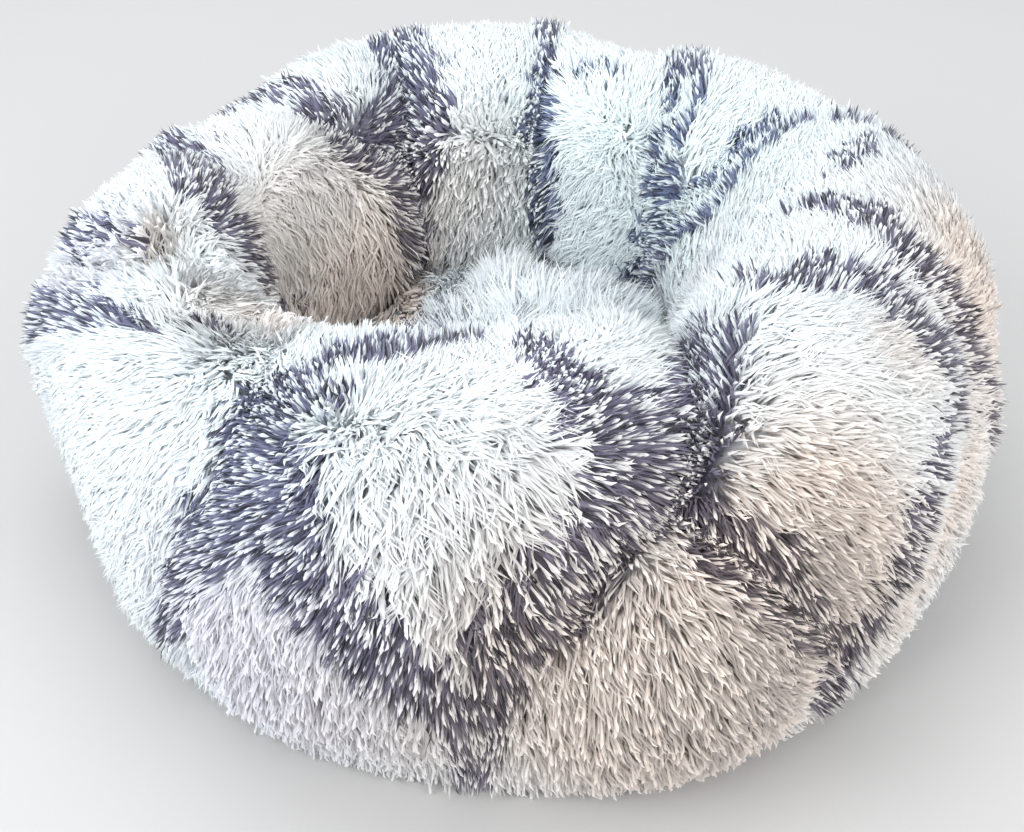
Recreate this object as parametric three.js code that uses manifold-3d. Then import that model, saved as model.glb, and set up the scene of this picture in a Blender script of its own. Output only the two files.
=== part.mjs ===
// Round plush cat bed: a stuffed ring in long-pile fur fabric round a padded nest.
// Millimetres, +Z up. The floor is z = 0 and the bed's centre is the origin.
// The near side of the bed faces -Y.

import * as THREE from 'three';
import { mergeVertices } from 'three/addons/utils/BufferGeometryUtils.js';
import Module from 'manifold-3d';

const wasm = await Module();
wasm.setup();

// Overall sizes, to the mean height of the pile. The ring's foot is tucked in under its
// outer flank, and its inner flank hangs over the nest floor.
const bedDiameter = 584;
const bedHeight = 241;
const bolsterWidth = 198;
const footTuck = 47;
const nestUndercut = 41;
const cushionHeight = 152;

// Fabrics and grip dots
const furThickness = 16;
const clothThickness = 1.2;
const dotDiameter = 9;
const dotHeight = 0.8;
const dotPitch = 50;
const dotRimMargin = 12;
const bondDepth = 0.4;

// Clearances between pieces that lie on each other
const layerGap = 0.5;
const seamGap = 0.5;

// The cushion falls away on its left side, under the ring's overhanging lobe
const cushionDipDepth = 32;
const cushionDipOffset = 78;
const cushionDipRadius = 52;

// Folds and swells of the stuffed ring
const seamFoldDepth = 30;
const seamFoldWidth = 21;
const lowerSeamFoldDepth = 18;
const lowerSeamFoldWidth = 30;
const gatherDepth = 24;
const creaseDepth = 18;
const gatherWidth = 17;
const softFoldDepth = 12;
const softFoldWidth = 25;
const foldRounding = 6;
const foldFadeLength = 50;
const frontSwell = 13;
const sideSwell = 9;
const smallSwell = 6;
const nestLobeSwell = 22;
const dentDepth = 16;
const shallowDentDepth = 8;
const nestHollowDepth = 52;
const sagDepth = 32;
const wideSwellRadius = 80;
const smallSwellRadius = 52;
const dentRadius = 40;
const nestHollowRadius = 85;
const sagRadius = 75;

// The ring's section: where it is widest, how square its foot is, how full its flanks are
const widestHeightShare = 0.42;
const footFullnessShare = 0.8;
const flankFullnessShare = 0.92;
const footRiseShare = 0.35;
const footReliefShare = 0.35;

// How sharp the folds are, and how deep they still are at their ends
const foldSharpness = 1.4;
const foldEndShare = 0.25;

// How the cushion's crown falls from its middle to its rim
const crownRadiusShares = [0.88, 0.68, 0.45, 0.2];
const crownFullnessShare = 0.85;

// Surface roughness of the finishes
const furRoughness = 0.95;
const fibreRoughness = 1;
const clothRoughness = 0.8;

// Mesh fineness
const rowCount = 16;
const clothSides = 72;
const dotSides = 8;
const rightColumnCounts = [9, 9, 5, 5, 6];
const leftColumnCounts = [6, 4, 11, 10];

// Lines of the ring, as [turn, roll] in degrees from the outer foot to the nest floor.
// Turn goes round the bed from +X towards +Y. Roll goes round the ring's section:
// 0 is the outer flank, 90 the crest and 180 the flank that faces the nest.
const backSeamDegrees = [[117, -60], [117, 40], [118, 75], [119, 100], [122, 117],
  [126, 130], [128, 145], [129, 165], [131, 240]];
const frontSeamDegrees = [[265, -60], [267, -16], [270, 3], [273, 16], [277, 28], [281, 38],
  [286, 50], [290, 62], [294, 76], [297, 92], [302, 110], [305, 170], [308, 240]];
const backLeftGatherDegrees = [[151, 55], [149, 84], [146, 104], [140, 117], [133, 126], [127, 133]];
const leftGatherDegrees = [[161, 50], [166, 72], [170, 88], [173, 105], [175, 130], [176, 160], [178, 240]];
const leftRumpleDegrees = [[184, 38], [190, 50], [195, 61], [200, 72], [202, 84],
  [199, 98], [192, 112], [184, 124]];
const leftCreaseDegrees = [[208, 52], [214, 67], [220, 77], [226, 86], [231, 98]];
const frontLeftHollowDegrees = [[229, -50], [230, 10], [236, 39], [239, 58],
  [246, 76], [256, 100], [262, 140], [264, 240]];
const frontBranchDegrees = [[286, 47], [291, 37], [294, 28], [298, 18], [301, 8], [306, -4], [312, -30]];
const rightHollowDegrees = [[322, -30], [326, 10], [333, 34], [336, 48], [336, 58],
  [330, 70], [323, 82], [314, 94]];
const rightForkDegrees = [[27, 75], [28, 100], [26, 120], [28, 140], [34, 150], [40, 165], [42, 240]];
const backRightGatherDegrees = [[57, 90], [55, 108], [55, 125], [54, 140], [50, 152], [48, 170], [47, 240]];
const backGatherDegrees = [[86, 92], [87, 110], [88, 130], [86, 150], [85, 165], [84, 240]];

// Two lines that only guide the mesh, where a fold turns off or ends
const backLeftGuideDegrees = [[151, 55], [149, 84], [146, 104], [147, 120], [150, 140], [151, 240]];
const rightGuideDegrees = [[322, -30], [326, 10], [333, 34], [336, 48], [336, 58],
  [331, 70], [328, 82], [328, 94], [336, 130], [345, 180], [348, 240]];

// The back seam's fold starts above its crest and deepens towards the nest. The front seam's
// fold is deep and narrow over the crest, and wide and shallow where it runs down to the foot.
const backSeamFoldDegrees = backSeamDegrees.slice(2);
const frontSeamFoldDegrees = frontSeamDegrees.slice(3);
const lowerSeamFoldDegrees = frontSeamDegrees.slice(0, 6);
const folds = [
  { line: backSeamFoldDegrees, depth: seamFoldDepth, width: seamFoldWidth },
  { line: frontSeamFoldDegrees, depth: seamFoldDepth, width: seamFoldWidth },
  { line: lowerSeamFoldDegrees, depth: lowerSeamFoldDepth, width: lowerSeamFoldWidth },
  { line: backLeftGatherDegrees, depth: gatherDepth, width: gatherWidth },
  { line: leftGatherDegrees, depth: gatherDepth, width: gatherWidth },
  { line: leftRumpleDegrees, depth: gatherDepth, width: gatherWidth },
  { line: leftCreaseDegrees, depth: softFoldDepth, width: gatherWidth },
  { line: backRightGatherDegrees, depth: creaseDepth, width: gatherWidth },
  { line: backGatherDegrees, depth: creaseDepth, width: gatherWidth },
  { line: frontBranchDegrees, depth: gatherDepth, width: softFoldWidth },
  { line: frontLeftHollowDegrees, depth: softFoldDepth, width: softFoldWidth },
  { line: rightHollowDegrees, depth: softFoldDepth, width: softFoldWidth },
  { line: rightForkDegrees, depth: softFoldDepth, width: softFoldWidth },
];

// Where the stuffing swells the ring between the folds, and where it sags
const swells = [
  { turn: 263, roll: 52, rise: frontSwell, radius: wideSwellRadius },
  { turn: 310, roll: 62, rise: frontSwell, radius: wideSwellRadius },
  { turn: 215, roll: 30, rise: sideSwell, radius: wideSwellRadius },
  { turn: 5, roll: 35, rise: sideSwell, radius: wideSwellRadius },
  { turn: 289, roll: 2, rise: frontSwell, radius: smallSwellRadius },
  { turn: 190, roll: 36, rise: frontSwell, radius: smallSwellRadius },
  { turn: 215, roll: 62, rise: sideSwell, radius: smallSwellRadius },
  { turn: 143, roll: 110, rise: smallSwell, radius: smallSwellRadius },
  { turn: 141, roll: 154, rise: nestLobeSwell, radius: dentRadius },
  { turn: 105, roll: 106, rise: smallSwell, radius: smallSwellRadius },
  { turn: 72, roll: 106, rise: smallSwell, radius: smallSwellRadius },
  { turn: 208, roll: -8, rise: -dentDepth, radius: smallSwellRadius },
  { turn: 146, roll: 61, rise: -dentDepth, radius: dentRadius },
  { turn: 69, roll: 74, rise: -dentDepth, radius: dentRadius },
  { turn: 352, roll: 14, rise: -shallowDentDepth, radius: smallSwellRadius },
  { turn: 250, roll: -38, rise: -shallowDentDepth, radius: smallSwellRadius },
  { turn: 185, roll: 150, rise: -nestHollowDepth, radius: nestHollowRadius },
  { turn: 218, roll: 98, rise: -sagDepth, radius: sagRadius },
];

// Derived sizes
const ringRadius = (bedDiameter - bolsterWidth) / 2;
const halfWidth = bolsterWidth / 2;
const baseRadius = bedDiameter / 2 - footTuck;
const nestFloorRadius = ringRadius - halfWidth + nestUndercut;
const widestHeight = widestHeightShare * bedHeight;
const clothTop = dotHeight + clothThickness;
const foot = clothTop + layerGap;
const innerFlankRoll = 180;
const fullTurn = 360;
const outerFootAngle = THREE.MathUtils.radToDeg(Math.acos((baseRadius - ringRadius) / halfWidth));
const innerFootAngle = THREE.MathUtils.radToDeg(Math.acos((ringRadius - nestFloorRadius) / halfWidth));
const rows = Array.from({ length: rowCount + 1 }, (_, i) =>
  THREE.MathUtils.lerp(-outerFootAngle, innerFlankRoll + innerFootAngle, i / rowCount));

function smooth(value) {
  const t = THREE.MathUtils.clamp(value, 0, 1);
  return t * t * (3 - 2 * t);
}

function radians(degrees) {
  return THREE.MathUtils.degToRad(degrees);
}

// Turn of a line at a roll, straight between its points
function turnAt(line, roll) {
  const after = line.findIndex((point) => point[1] > roll);
  if (after === 0) return line[0][0];
  if (after < 0) return line[line.length - 1][0];
  const [turnA, rollA] = line[after - 1];
  const [turnB, rollB] = line[after];
  return THREE.MathUtils.mapLinear(roll, rollA, rollB, turnA, turnB);
}

// The shorter way from one turn to another, in degrees
function turnBetween(from, to) {
  return THREE.MathUtils.euclideanModulo(to - from + fullTurn / 2, fullTurn) - fullTurn / 2;
}

// Distance over the ring's skin from a place to a fold line, and the fold's fade there
function foldAt(line, turn, roll, radius) {
  let nearest = Infinity;
  let along = 0;
  let length = 0;
  for (let i = 0; i < line.length - 1; i += 1) {
    const [turnA, rollA] = line[i];
    const [turnB, rollB] = line[i + 1];
    const px = radians(turnBetween(turnA, turn)) * radius;
    const py = radians(roll - rollA) * halfWidth;
    const vx = radians(turnB - turnA) * radius;
    const vy = radians(rollB - rollA) * halfWidth;
    const piece = Math.hypot(vx, vy);
    const t = THREE.MathUtils.clamp((px * vx + py * vy) / (piece * piece), 0, 1);
    const distance = Math.hypot(px - t * vx, py - t * vy);
    if (distance < nearest) {
      nearest = distance;
      along = length + t * piece;
    }
    length += piece;
  }
  const start = smooth(along / foldFadeLength + foldEndShare);
  const fade = start * smooth((length - along) / foldFadeLength + foldEndShare);
  return { distance: nearest, fade };
}

// Rise of the stuffed skin over the plain ring: folds go in, swells come out
function reliefAt(turn, roll) {
  const radius = ringRadius + halfWidth * Math.cos(radians(roll));
  let rise = 0;
  for (const { line, depth, width } of folds) {
    const { distance, fade } = foldAt(line, turn, roll, radius);
    const rounded = Math.hypot(distance, foldRounding) - foldRounding;
    rise -= depth * fade * Math.exp(-((rounded / width) ** foldSharpness));
  }
  for (const swell of swells) {
    const x = radians(turnBetween(swell.turn, turn)) * radius;
    const y = radians(roll - swell.roll) * halfWidth;
    rise += swell.rise * Math.exp(-(x * x + y * y) / swell.radius ** 2);
  }
  return rise;
}

// A point of the ring's skin, sunk by inset from the outer surface
function ringPoint(turn, roll, inset) {
  const s = Math.sin(radians(roll));
  const c = Math.cos(radians(roll));
  const footAngle = c > 0 ? outerFootAngle : innerFootAngle;
  const fall = Math.min(Math.abs(s) / Math.sin(radians(footAngle)), 1) ** footFullnessShare;
  const height = s > 0
    ? widestHeight + (bedHeight - inset - widestHeight) * s
    : widestHeight - (widestHeight - foot) * fall;
  const reach = (halfWidth - inset) * Math.sign(c) * Math.abs(c) ** flankFullnessShare;
  const rise = reliefAt(turn, roll);
  const lifted = smooth((height - foot) / (footRiseShare * widestHeight));
  const relief = rise * (footReliefShare + (1 - footReliefShare) * lifted);
  const radius = ringRadius + reach + relief * c;
  const z = height + rise * s * lifted;
  return new THREE.Vector3(radius * Math.cos(radians(turn)), radius * Math.sin(radians(turn)), z);
}

// Columns between neighbouring guide lines, so that mesh lines run along the folds
function columnsBetween(guides, counts) {
  const columns = [];
  guides.slice(0, -1).forEach((guide, i) => {
    for (let k = 0; k < counts[i]; k += 1) {
      columns.push((roll) => {
        const from = turnAt(guide, roll);
        return from + turnBetween(from, turnAt(guides[i + 1], roll)) * (k / counts[i]);
      });
    }
  });
  return columns;
}

const rightGuides = [frontSeamDegrees, rightGuideDegrees, rightForkDegrees,
  backRightGatherDegrees, backGatherDegrees, backSeamDegrees];
const leftGuides = [backSeamDegrees, backLeftGuideDegrees, leftGatherDegrees,
  frontLeftHollowDegrees, frontSeamDegrees];
const rightColumns = columnsBetween(rightGuides, rightColumnCounts);
const leftColumns = columnsBetween(leftGuides, leftColumnCounts);
const allColumns = [...rightColumns, ...leftColumns];

// Turns lists of points into one closed geometry, with its quads cut the same way everywhere
function closedGeometry(positions, triangles) {
  const geometry = new THREE.BufferGeometry();
  const numbers = positions.flatMap((p) => [p.x, p.y, p.z]);
  geometry.setAttribute('position', new THREE.Float32BufferAttribute(numbers, 3));
  geometry.setIndex(triangles);
  geometry.computeVertexNormals();
  return geometry;
}

function quad(triangles, a, b, c, d) {
  triangles.push(a, b, c, a, c, d);
}

// One fur panel of the ring: a thick strip of fabric from seam to seam, open below and inside
function panelGeometry(columns, endLine) {
  const stations = [...columns, (roll) => turnAt(endLine, roll)];
  const last = stations.length - 1;
  const positions = [];
  const layers = [0, furThickness];
  for (const inset of layers) {
    stations.forEach((turnOf, column) => {
      for (const roll of rows) {
        const turn = turnOf(roll);
        const point = ringPoint(turn, roll, inset);
        const sidestep = column === 0 ? seamGap / 2 : column === last ? -seamGap / 2 : 0;
        point.x -= sidestep * Math.sin(radians(turn));
        point.y += sidestep * Math.cos(radians(turn));
        positions.push(point);
      }
    });
  }
  const tall = rows.length;
  const layer = stations.length * tall;
  const outside = (column, row) => column * tall + row;
  const inside = (column, row) => layer + column * tall + row;
  const triangles = [];
  for (let column = 0; column < last; column += 1) {
    for (let row = 0; row < rowCount; row += 1) {
      quad(triangles, outside(column, row), outside(column + 1, row),
        outside(column + 1, row + 1), outside(column, row + 1));
      quad(triangles, inside(column, row), inside(column, row + 1),
        inside(column + 1, row + 1), inside(column + 1, row));
    }
    quad(triangles, inside(column, 0), inside(column + 1, 0), outside(column + 1, 0), outside(column, 0));
    quad(triangles, outside(column, rowCount), outside(column + 1, rowCount),
      inside(column + 1, rowCount), inside(column, rowCount));
  }
  for (let row = 0; row < rowCount; row += 1) {
    quad(triangles, outside(0, row), outside(0, row + 1), inside(0, row + 1), inside(0, row));
    quad(triangles, inside(last, row), inside(last, row + 1), outside(last, row + 1), outside(last, row));
  }
  return closedGeometry(positions, triangles);
}

// The loose fibre inside the ring: it fills the panels and lies flat on the base cloth
function ringFillingGeometry() {
  const inset = furThickness + layerGap;
  const positions = [];
  for (const turnOf of allColumns) {
    for (const roll of rows) {
      positions.push(ringPoint(turnOf(roll), roll, inset));
    }
  }
  const tall = rows.length;
  const wide = allColumns.length;
  const at = (column, row) => (column % wide) * tall + row;
  const triangles = [];
  for (let column = 0; column < wide; column += 1) {
    for (let row = 0; row < rowCount; row += 1) {
      quad(triangles, at(column, row), at(column + 1, row), at(column + 1, row + 1), at(column, row + 1));
    }
    quad(triangles, at(column, rowCount), at(column + 1, rowCount), at(column + 1, 0), at(column, 0));
  }
  return closedGeometry(positions, triangles);
}

// Rows of the nest cushion, from its foot up the ring's inner flank and over its crown.
// Sunk is how far the layer lies inside the ring's skin, and fall how far below the crown.
const flankRows = rows.filter((roll) => roll >= innerFlankRoll).reverse();

function cushionPoints(sunk, fall) {
  const flanks = allColumns.map((turnOf) => flankRows.map((roll) => ringPoint(turnOf(roll), roll, -sunk)));
  const rims = flanks.map((flank) => flank[flank.length - 1]);
  const meanRadius = rims.reduce((sum, rim) => sum + Math.hypot(rim.x, rim.y), 0) / rims.length;
  const columns = flanks.map((flank, i) => {
    const rim = rims[i];
    const rimRadius = Math.hypot(rim.x, rim.y);
    const crown = crownRadiusShares.map((share) => {
      const rounded = THREE.MathUtils.lerp(meanRadius / rimRadius, 1, share * share) * share;
      const height = Math.cos(share * Math.PI / 2) ** crownFullnessShare;
      const x = rim.x * rounded;
      const y = rim.y * rounded;
      const fromDip = Math.hypot(x + cushionDipOffset, y) / cushionDipRadius;
      const dip = cushionDipDepth * Math.exp(-(fromDip ** 2)) * (1 - share ** 4);
      const z = rim.z + (cushionHeight - fall - rim.z) * height - dip;
      return new THREE.Vector3(x, y, z);
    });
    return [...flank, ...crown];
  });
  const middle = new THREE.Vector3(0, 0, cushionHeight - fall);
  return { points: columns.flat(), middle, tall: columns[0].length };
}

function pushCushionSkin(triangles, first, tall, facingOut) {
  const wide = allColumns.length;
  const middle = first + wide * tall;
  const at = (column, row) => first + (column % wide) * tall + row;
  for (let column = 0; column < wide; column += 1) {
    const faces = [];
    for (let row = 0; row < tall - 1; row += 1) {
      quad(faces, at(column, row + 1), at(column, row), at(column + 1, row), at(column + 1, row + 1));
    }
    faces.push(at(column, tall - 1), at(column + 1, tall - 1), middle);
    triangles.push(...(facingOut ? faces : faces.reverse()));
  }
}

// The cushion's fur cover: a domed skin of fur fabric, open below
function cushionCoverGeometry() {
  const outer = cushionPoints(layerGap, 0);
  const inner = cushionPoints(layerGap + furThickness, furThickness);
  const positions = [...outer.points, outer.middle, ...inner.points, inner.middle];
  const wide = allColumns.length;
  const innerFirst = outer.points.length + 1;
  const triangles = [];
  pushCushionSkin(triangles, 0, outer.tall, true);
  pushCushionSkin(triangles, innerFirst, inner.tall, false);
  for (let column = 0; column < wide; column += 1) {
    const next = (column + 1) % wide;
    quad(triangles, innerFirst + column * inner.tall, innerFirst + next * inner.tall,
      next * outer.tall, column * outer.tall);
  }
  return closedGeometry(positions, triangles);
}

// The fibre inside the cushion, flat where it lies on the base cloth
function cushionFillingGeometry() {
  const skin = cushionPoints(furThickness + 2 * layerGap, furThickness + layerGap);
  const positions = [...skin.points, skin.middle, new THREE.Vector3(0, 0, foot)];
  const wide = allColumns.length;
  const below = positions.length - 1;
  const triangles = [];
  pushCushionSkin(triangles, 0, skin.tall, true);
  for (let column = 0; column < wide; column += 1) {
    triangles.push(((column + 1) % wide) * skin.tall, column * skin.tall, below);
  }
  return closedGeometry(positions, triangles);
}

function toSolid(geometry) {
  const bare = geometry.clone();
  bare.deleteAttribute('normal');
  bare.deleteAttribute('uv');
  const merged = mergeVertices(bare);
  const vertProperties = new Float32Array(merged.attributes.position.array);
  const triVerts = new Uint32Array(merged.index.array);
  return new wasm.Manifold(new wasm.Mesh({ numProp: 3, vertProperties, triVerts }));
}

function fromSolid(solid) {
  const { vertProperties, triVerts } = solid.getMesh();
  const geometry = new THREE.BufferGeometry();
  geometry.setAttribute('position', new THREE.BufferAttribute(vertProperties, 3));
  geometry.setIndex(new THREE.BufferAttribute(triVerts, 1));
  geometry.computeVertexNormals();
  return geometry;
}

// A flat disc or dot between two heights
function discGeometry(radius, low, high, sides) {
  const profile = [[0, low], [radius, low], [radius, high], [0, high]];
  const geometry = new THREE.LatheGeometry(profile.map(([x, y]) => new THREE.Vector2(x, y)), sides);
  geometry.rotateX(Math.PI / 2);
  return geometry;
}

// Base cloth with a middle dot and rings of moulded grip dots under it
function baseClothGeometry() {
  let cloth = toSolid(discGeometry(baseRadius, dotHeight, clothTop, clothSides));
  const ringCount = Math.floor((baseRadius - dotRimMargin - dotDiameter / 2) / dotPitch);
  for (let ring = 0; ring <= ringCount; ring += 1) {
    const radius = ring * dotPitch;
    const count = Math.max(1, Math.round(2 * Math.PI * ring));
    for (let k = 0; k < count; k += 1) {
      const dot = discGeometry(dotDiameter / 2, 0, dotHeight + bondDepth, dotSides);
      const angle = (2 * Math.PI * k) / count;
      dot.translate(radius * Math.cos(angle), radius * Math.sin(angle), 0);
      cloth = cloth.add(toSolid(dot));
    }
  }
  return fromSolid(cloth);
}

function fabricMaterial(color, roughness) {
  return new THREE.MeshStandardMaterial({ color, roughness, metalness: 0 });
}

function piece(name, geometry, material) {
  const mesh = new THREE.Mesh(geometry, material);
  mesh.name = name;
  return mesh;
}

const bed = new THREE.Group();
bed.name = 'cat_bed';
const rightPanel = panelGeometry(rightColumns, backSeamDegrees);
const leftPanel = panelGeometry(leftColumns, frontSeamDegrees);
bed.add(piece('ring_cover_right', rightPanel, fabricMaterial(0xe9e8ec, furRoughness)));
bed.add(piece('ring_cover_left', leftPanel, fabricMaterial(0xdfdde3, furRoughness)));
bed.add(piece('ring_filling', ringFillingGeometry(), fabricMaterial(0xf5f4f0, fibreRoughness)));
bed.add(piece('nest_cushion_cover', cushionCoverGeometry(), fabricMaterial(0xf1f1f4, furRoughness)));
bed.add(piece('nest_cushion_filling', cushionFillingGeometry(), fabricMaterial(0xf7f6f2, fibreRoughness)));
bed.add(piece('base_cloth', baseClothGeometry(), fabricMaterial(0x4b4a50, clothRoughness)));

export default bed;
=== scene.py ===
"""Looks of a round plush cat bed: a stuffed ring in long-pile fur round a padded nest.

Metres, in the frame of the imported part: the floor is z = 0, +Z is up and the near side faces -Y.
The ring is described by two angles, both in degrees. Turn goes round the bed from +X to +Y.
Roll goes round the ring's section: 0 is the outer flank, 90 the crest, 180 the nest's flank.
"""
import logging
import math
from dataclasses import dataclass, field, fields
from enum import Enum, IntEnum

import bpy
import numpy as np
from mathutils import Matrix, Vector


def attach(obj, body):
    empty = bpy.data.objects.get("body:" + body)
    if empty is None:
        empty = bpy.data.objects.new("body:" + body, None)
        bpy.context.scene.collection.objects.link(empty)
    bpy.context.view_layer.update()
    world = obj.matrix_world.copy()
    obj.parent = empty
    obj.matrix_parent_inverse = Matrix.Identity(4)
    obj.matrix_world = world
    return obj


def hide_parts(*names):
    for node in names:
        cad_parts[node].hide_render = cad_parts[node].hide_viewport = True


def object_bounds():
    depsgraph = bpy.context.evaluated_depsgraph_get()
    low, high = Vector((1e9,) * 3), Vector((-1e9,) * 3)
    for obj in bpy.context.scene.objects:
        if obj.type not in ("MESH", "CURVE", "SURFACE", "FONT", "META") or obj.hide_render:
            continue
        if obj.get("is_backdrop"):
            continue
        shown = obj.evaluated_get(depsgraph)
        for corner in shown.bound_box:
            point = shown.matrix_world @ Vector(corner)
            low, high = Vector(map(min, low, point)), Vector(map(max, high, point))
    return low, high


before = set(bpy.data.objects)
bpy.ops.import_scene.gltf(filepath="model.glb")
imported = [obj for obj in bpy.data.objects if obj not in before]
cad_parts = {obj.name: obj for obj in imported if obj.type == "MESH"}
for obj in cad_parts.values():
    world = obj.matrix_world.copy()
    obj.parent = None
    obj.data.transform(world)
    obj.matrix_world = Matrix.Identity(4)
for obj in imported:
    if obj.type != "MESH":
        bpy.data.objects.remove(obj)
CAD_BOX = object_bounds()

log = logging.getLogger("cat_bed")

Array = np.ndarray
Draws = np.random.Generator
Piece = bpy.types.Object
Material = bpy.types.Material
Tree = bpy.types.NodeTree
Node = bpy.types.Node
Socket = bpy.types.NodeSocket
Line = tuple[tuple[float, float], ...]
Track = tuple[tuple[float, float, float], ...]
Span = tuple[float, float]
Place = tuple[float, float, float]
Colour = tuple[float, float, float]
Rgba = tuple[float, float, float, float]

FULL_TURN = 360.0
MILLIMETRE = 0.001
NOISE_CELLS = 64
FIBRE_FLOOR = 0.003
PILE_COLOUR = "pile_colour"


class Seed(IntEnum):
    """Starts of the random draws, one for each use."""

    BORDERS = 21
    FINE_BORDERS = 22
    RING_LUMPS = 25
    CUSHION_LUMPS = 27
    CUSHION_LAY_X = 51
    CUSHION_LAY_Y = 52
    CUSHION_TUFTS = 53
    RING_PILE = 120
    CUSHION_PILE = 320


def smooth(value: Array) -> Array:
    """Smooth step: 3 t squared minus 2 t cubed, with t held between 0 and 1."""
    t = np.clip(value, 0.0, 1.0)
    return t * t * (3.0 - 2.0 * t)


def mix(a: Array, b: Array, share: Array) -> Array:
    """Blend from a to b by a share of 0 to 1."""
    return a + (b - a) * share


def turn_between(start: Array, end: Array) -> Array:
    """The shorter way round from one turn to another, in degrees."""
    return (end - start + FULL_TURN / 2) % FULL_TURN - FULL_TURN / 2


def unit(vectors: Array) -> Array:
    """Vectors divided by their lengths."""
    return vectors / np.maximum(np.linalg.norm(vectors, axis=-1, keepdims=True), 1e-12)


def flat_vectors(x: Array, y: Array) -> Array:
    """Vectors of x and y with no height."""
    return np.stack([x, y, np.zeros(x.shape)], axis=-1)


def value_noise(x: Array, y: Array, seed: int) -> Array:
    """Smooth noise of -1 to 1: random values on the whole numbers, blended by smooth steps.

    Args:
        x: First coordinate, one unit a bump.
        y: Second coordinate.
        seed: Which noise it is.

    Returns:
        The noise at each place.
    """
    table = np.random.default_rng(seed).uniform(-1.0, 1.0, (NOISE_CELLS, NOISE_CELLS))
    x0, y0 = np.floor(x).astype(int), np.floor(y).astype(int)
    u, v = smooth(x - x0), smooth(y - y0)
    left, right = x0 % NOISE_CELLS, (x0 + 1) % NOISE_CELLS
    near, far = y0 % NOISE_CELLS, (y0 + 1) % NOISE_CELLS
    return mix(mix(table[left, near], table[right, near], u),
               mix(table[left, far], table[right, far], u), v)


def track_distance(track: Array, turn: Array, roll: Array, radius: Array,
                   half_width: float) -> tuple[Array, Array, Array]:
    """Distance over the skin from places to a line of straight steps.

    Each step is a segment in the plane of arc lengths: turn times the local radius, and roll
    times the section's half width. The nearest of the segments counts.

    Args:
        track: Rows of turn and roll, with a third column that is carried along if it is there.
        turn: Turns of the places.
        roll: Rolls of the places.
        radius: Distance of the places from the bed's axis.
        half_width: Half width of the ring's section.

    Returns:
        Distance, length along the line at the nearest point, and the third column there. A line
        without a third column gives its whole length in its stead.
    """
    best = np.full(turn.shape, np.inf)
    along, extra, length = np.zeros(turn.shape), np.zeros(turn.shape), np.zeros(turn.shape)
    for a, b in zip(track[:-1], track[1:]):
        px = np.radians(turn_between(a[0], turn)) * radius
        py = np.radians(roll - a[1]) * half_width
        vx = np.radians(b[0] - a[0]) * radius
        vy = np.radians(b[1] - a[1]) * half_width
        piece = np.hypot(vx, vy)
        t = np.clip((px * vx + py * vy) / piece**2, 0.0, 1.0)
        distance = np.hypot(px - t * vx, py - t * vy)
        nearer = distance < best
        best = np.where(nearer, distance, best)
        along = np.where(nearer, length + t * piece, along)
        if len(a) > 2:
            extra = np.where(nearer, mix(a[2], b[2], t), extra)
        length = length + piece
    return best, along, extra if track.shape[1] > 2 else length


@dataclass(frozen=True)
class Fold:
    """A gathered fold of the ring, along a line of (turn, roll) points."""

    line: Line
    depth: float
    width: float


@dataclass(frozen=True)
class Swell:
    """A place where the stuffing swells the ring, or sags where rise is negative."""

    turn: float
    roll: float
    rise: float
    radius: float


BACK_SEAM: Line = ((117, -60), (117, 40), (118, 75), (119, 100), (122, 117), (126, 130), (128, 145),
                   (129, 165), (131, 240))
FRONT_SEAM: Line = ((265, -60), (267, -16), (270, 3), (273, 16), (277, 28), (281, 38), (286, 50),
                    (290, 62), (294, 76), (297, 92), (302, 110), (305, 170), (308, 240))
FOLDS = (
    Fold(BACK_SEAM[2:], 0.030, 0.021),
    Fold(FRONT_SEAM[3:], 0.030, 0.021),
    Fold(FRONT_SEAM[:6], 0.018, 0.030),
    Fold(((151, 55), (149, 84), (146, 104), (140, 117), (133, 126), (127, 133)), 0.024, 0.017),
    Fold(((161, 50), (166, 72), (170, 88), (173, 105), (175, 130), (176, 160), (178, 240)),
           0.024, 0.017),
    Fold(((184, 38), (190, 50), (195, 61), (200, 72), (202, 84), (199, 98), (192, 112), (184, 124)),
           0.024, 0.017),
    Fold(((208, 52), (214, 67), (220, 77), (226, 86), (231, 98)), 0.012, 0.017),
    Fold(((57, 90), (55, 108), (55, 125), (54, 140), (50, 152), (48, 170), (47, 240)),
           0.018, 0.017),
    Fold(((86, 92), (87, 110), (88, 130), (86, 150), (85, 165), (84, 240)), 0.018, 0.017),
    Fold(((286, 47), (291, 37), (294, 28), (298, 18), (301, 8), (306, -4), (312, -30)),
           0.024, 0.025),
    Fold(((229, -50), (230, 10), (236, 39), (239, 58), (246, 76), (256, 100), (262, 140),
           (264, 240)), 0.012, 0.025),
    Fold(((322, -30), (326, 10), (333, 34), (336, 48), (336, 58), (330, 70), (323, 82), (314, 94)),
           0.012, 0.025),
    Fold(((27, 75), (28, 100), (26, 120), (28, 140), (34, 150), (40, 165), (42, 240)),
           0.012, 0.025),
)
SWELLS = (
    Swell(263, 52, 0.013, 0.080), Swell(310, 62, 0.013, 0.080), Swell(215, 30, 0.009, 0.080),
    Swell(5, 35, 0.009, 0.080), Swell(289, 2, 0.013, 0.052), Swell(190, 36, 0.013, 0.052),
    Swell(215, 62, 0.009, 0.052), Swell(143, 110, 0.006, 0.052), Swell(141, 154, 0.022, 0.040),
    Swell(105, 106, 0.006, 0.052), Swell(72, 106, 0.006, 0.052), Swell(208, -8, -0.016, 0.052),
    Swell(146, 61, -0.016, 0.040), Swell(69, 74, -0.016, 0.040), Swell(352, 14, -0.008, 0.052),
    Swell(250, -38, -0.008, 0.052), Swell(185, 150, -0.052, 0.085), Swell(218, 98, -0.032, 0.075),
)


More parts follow.
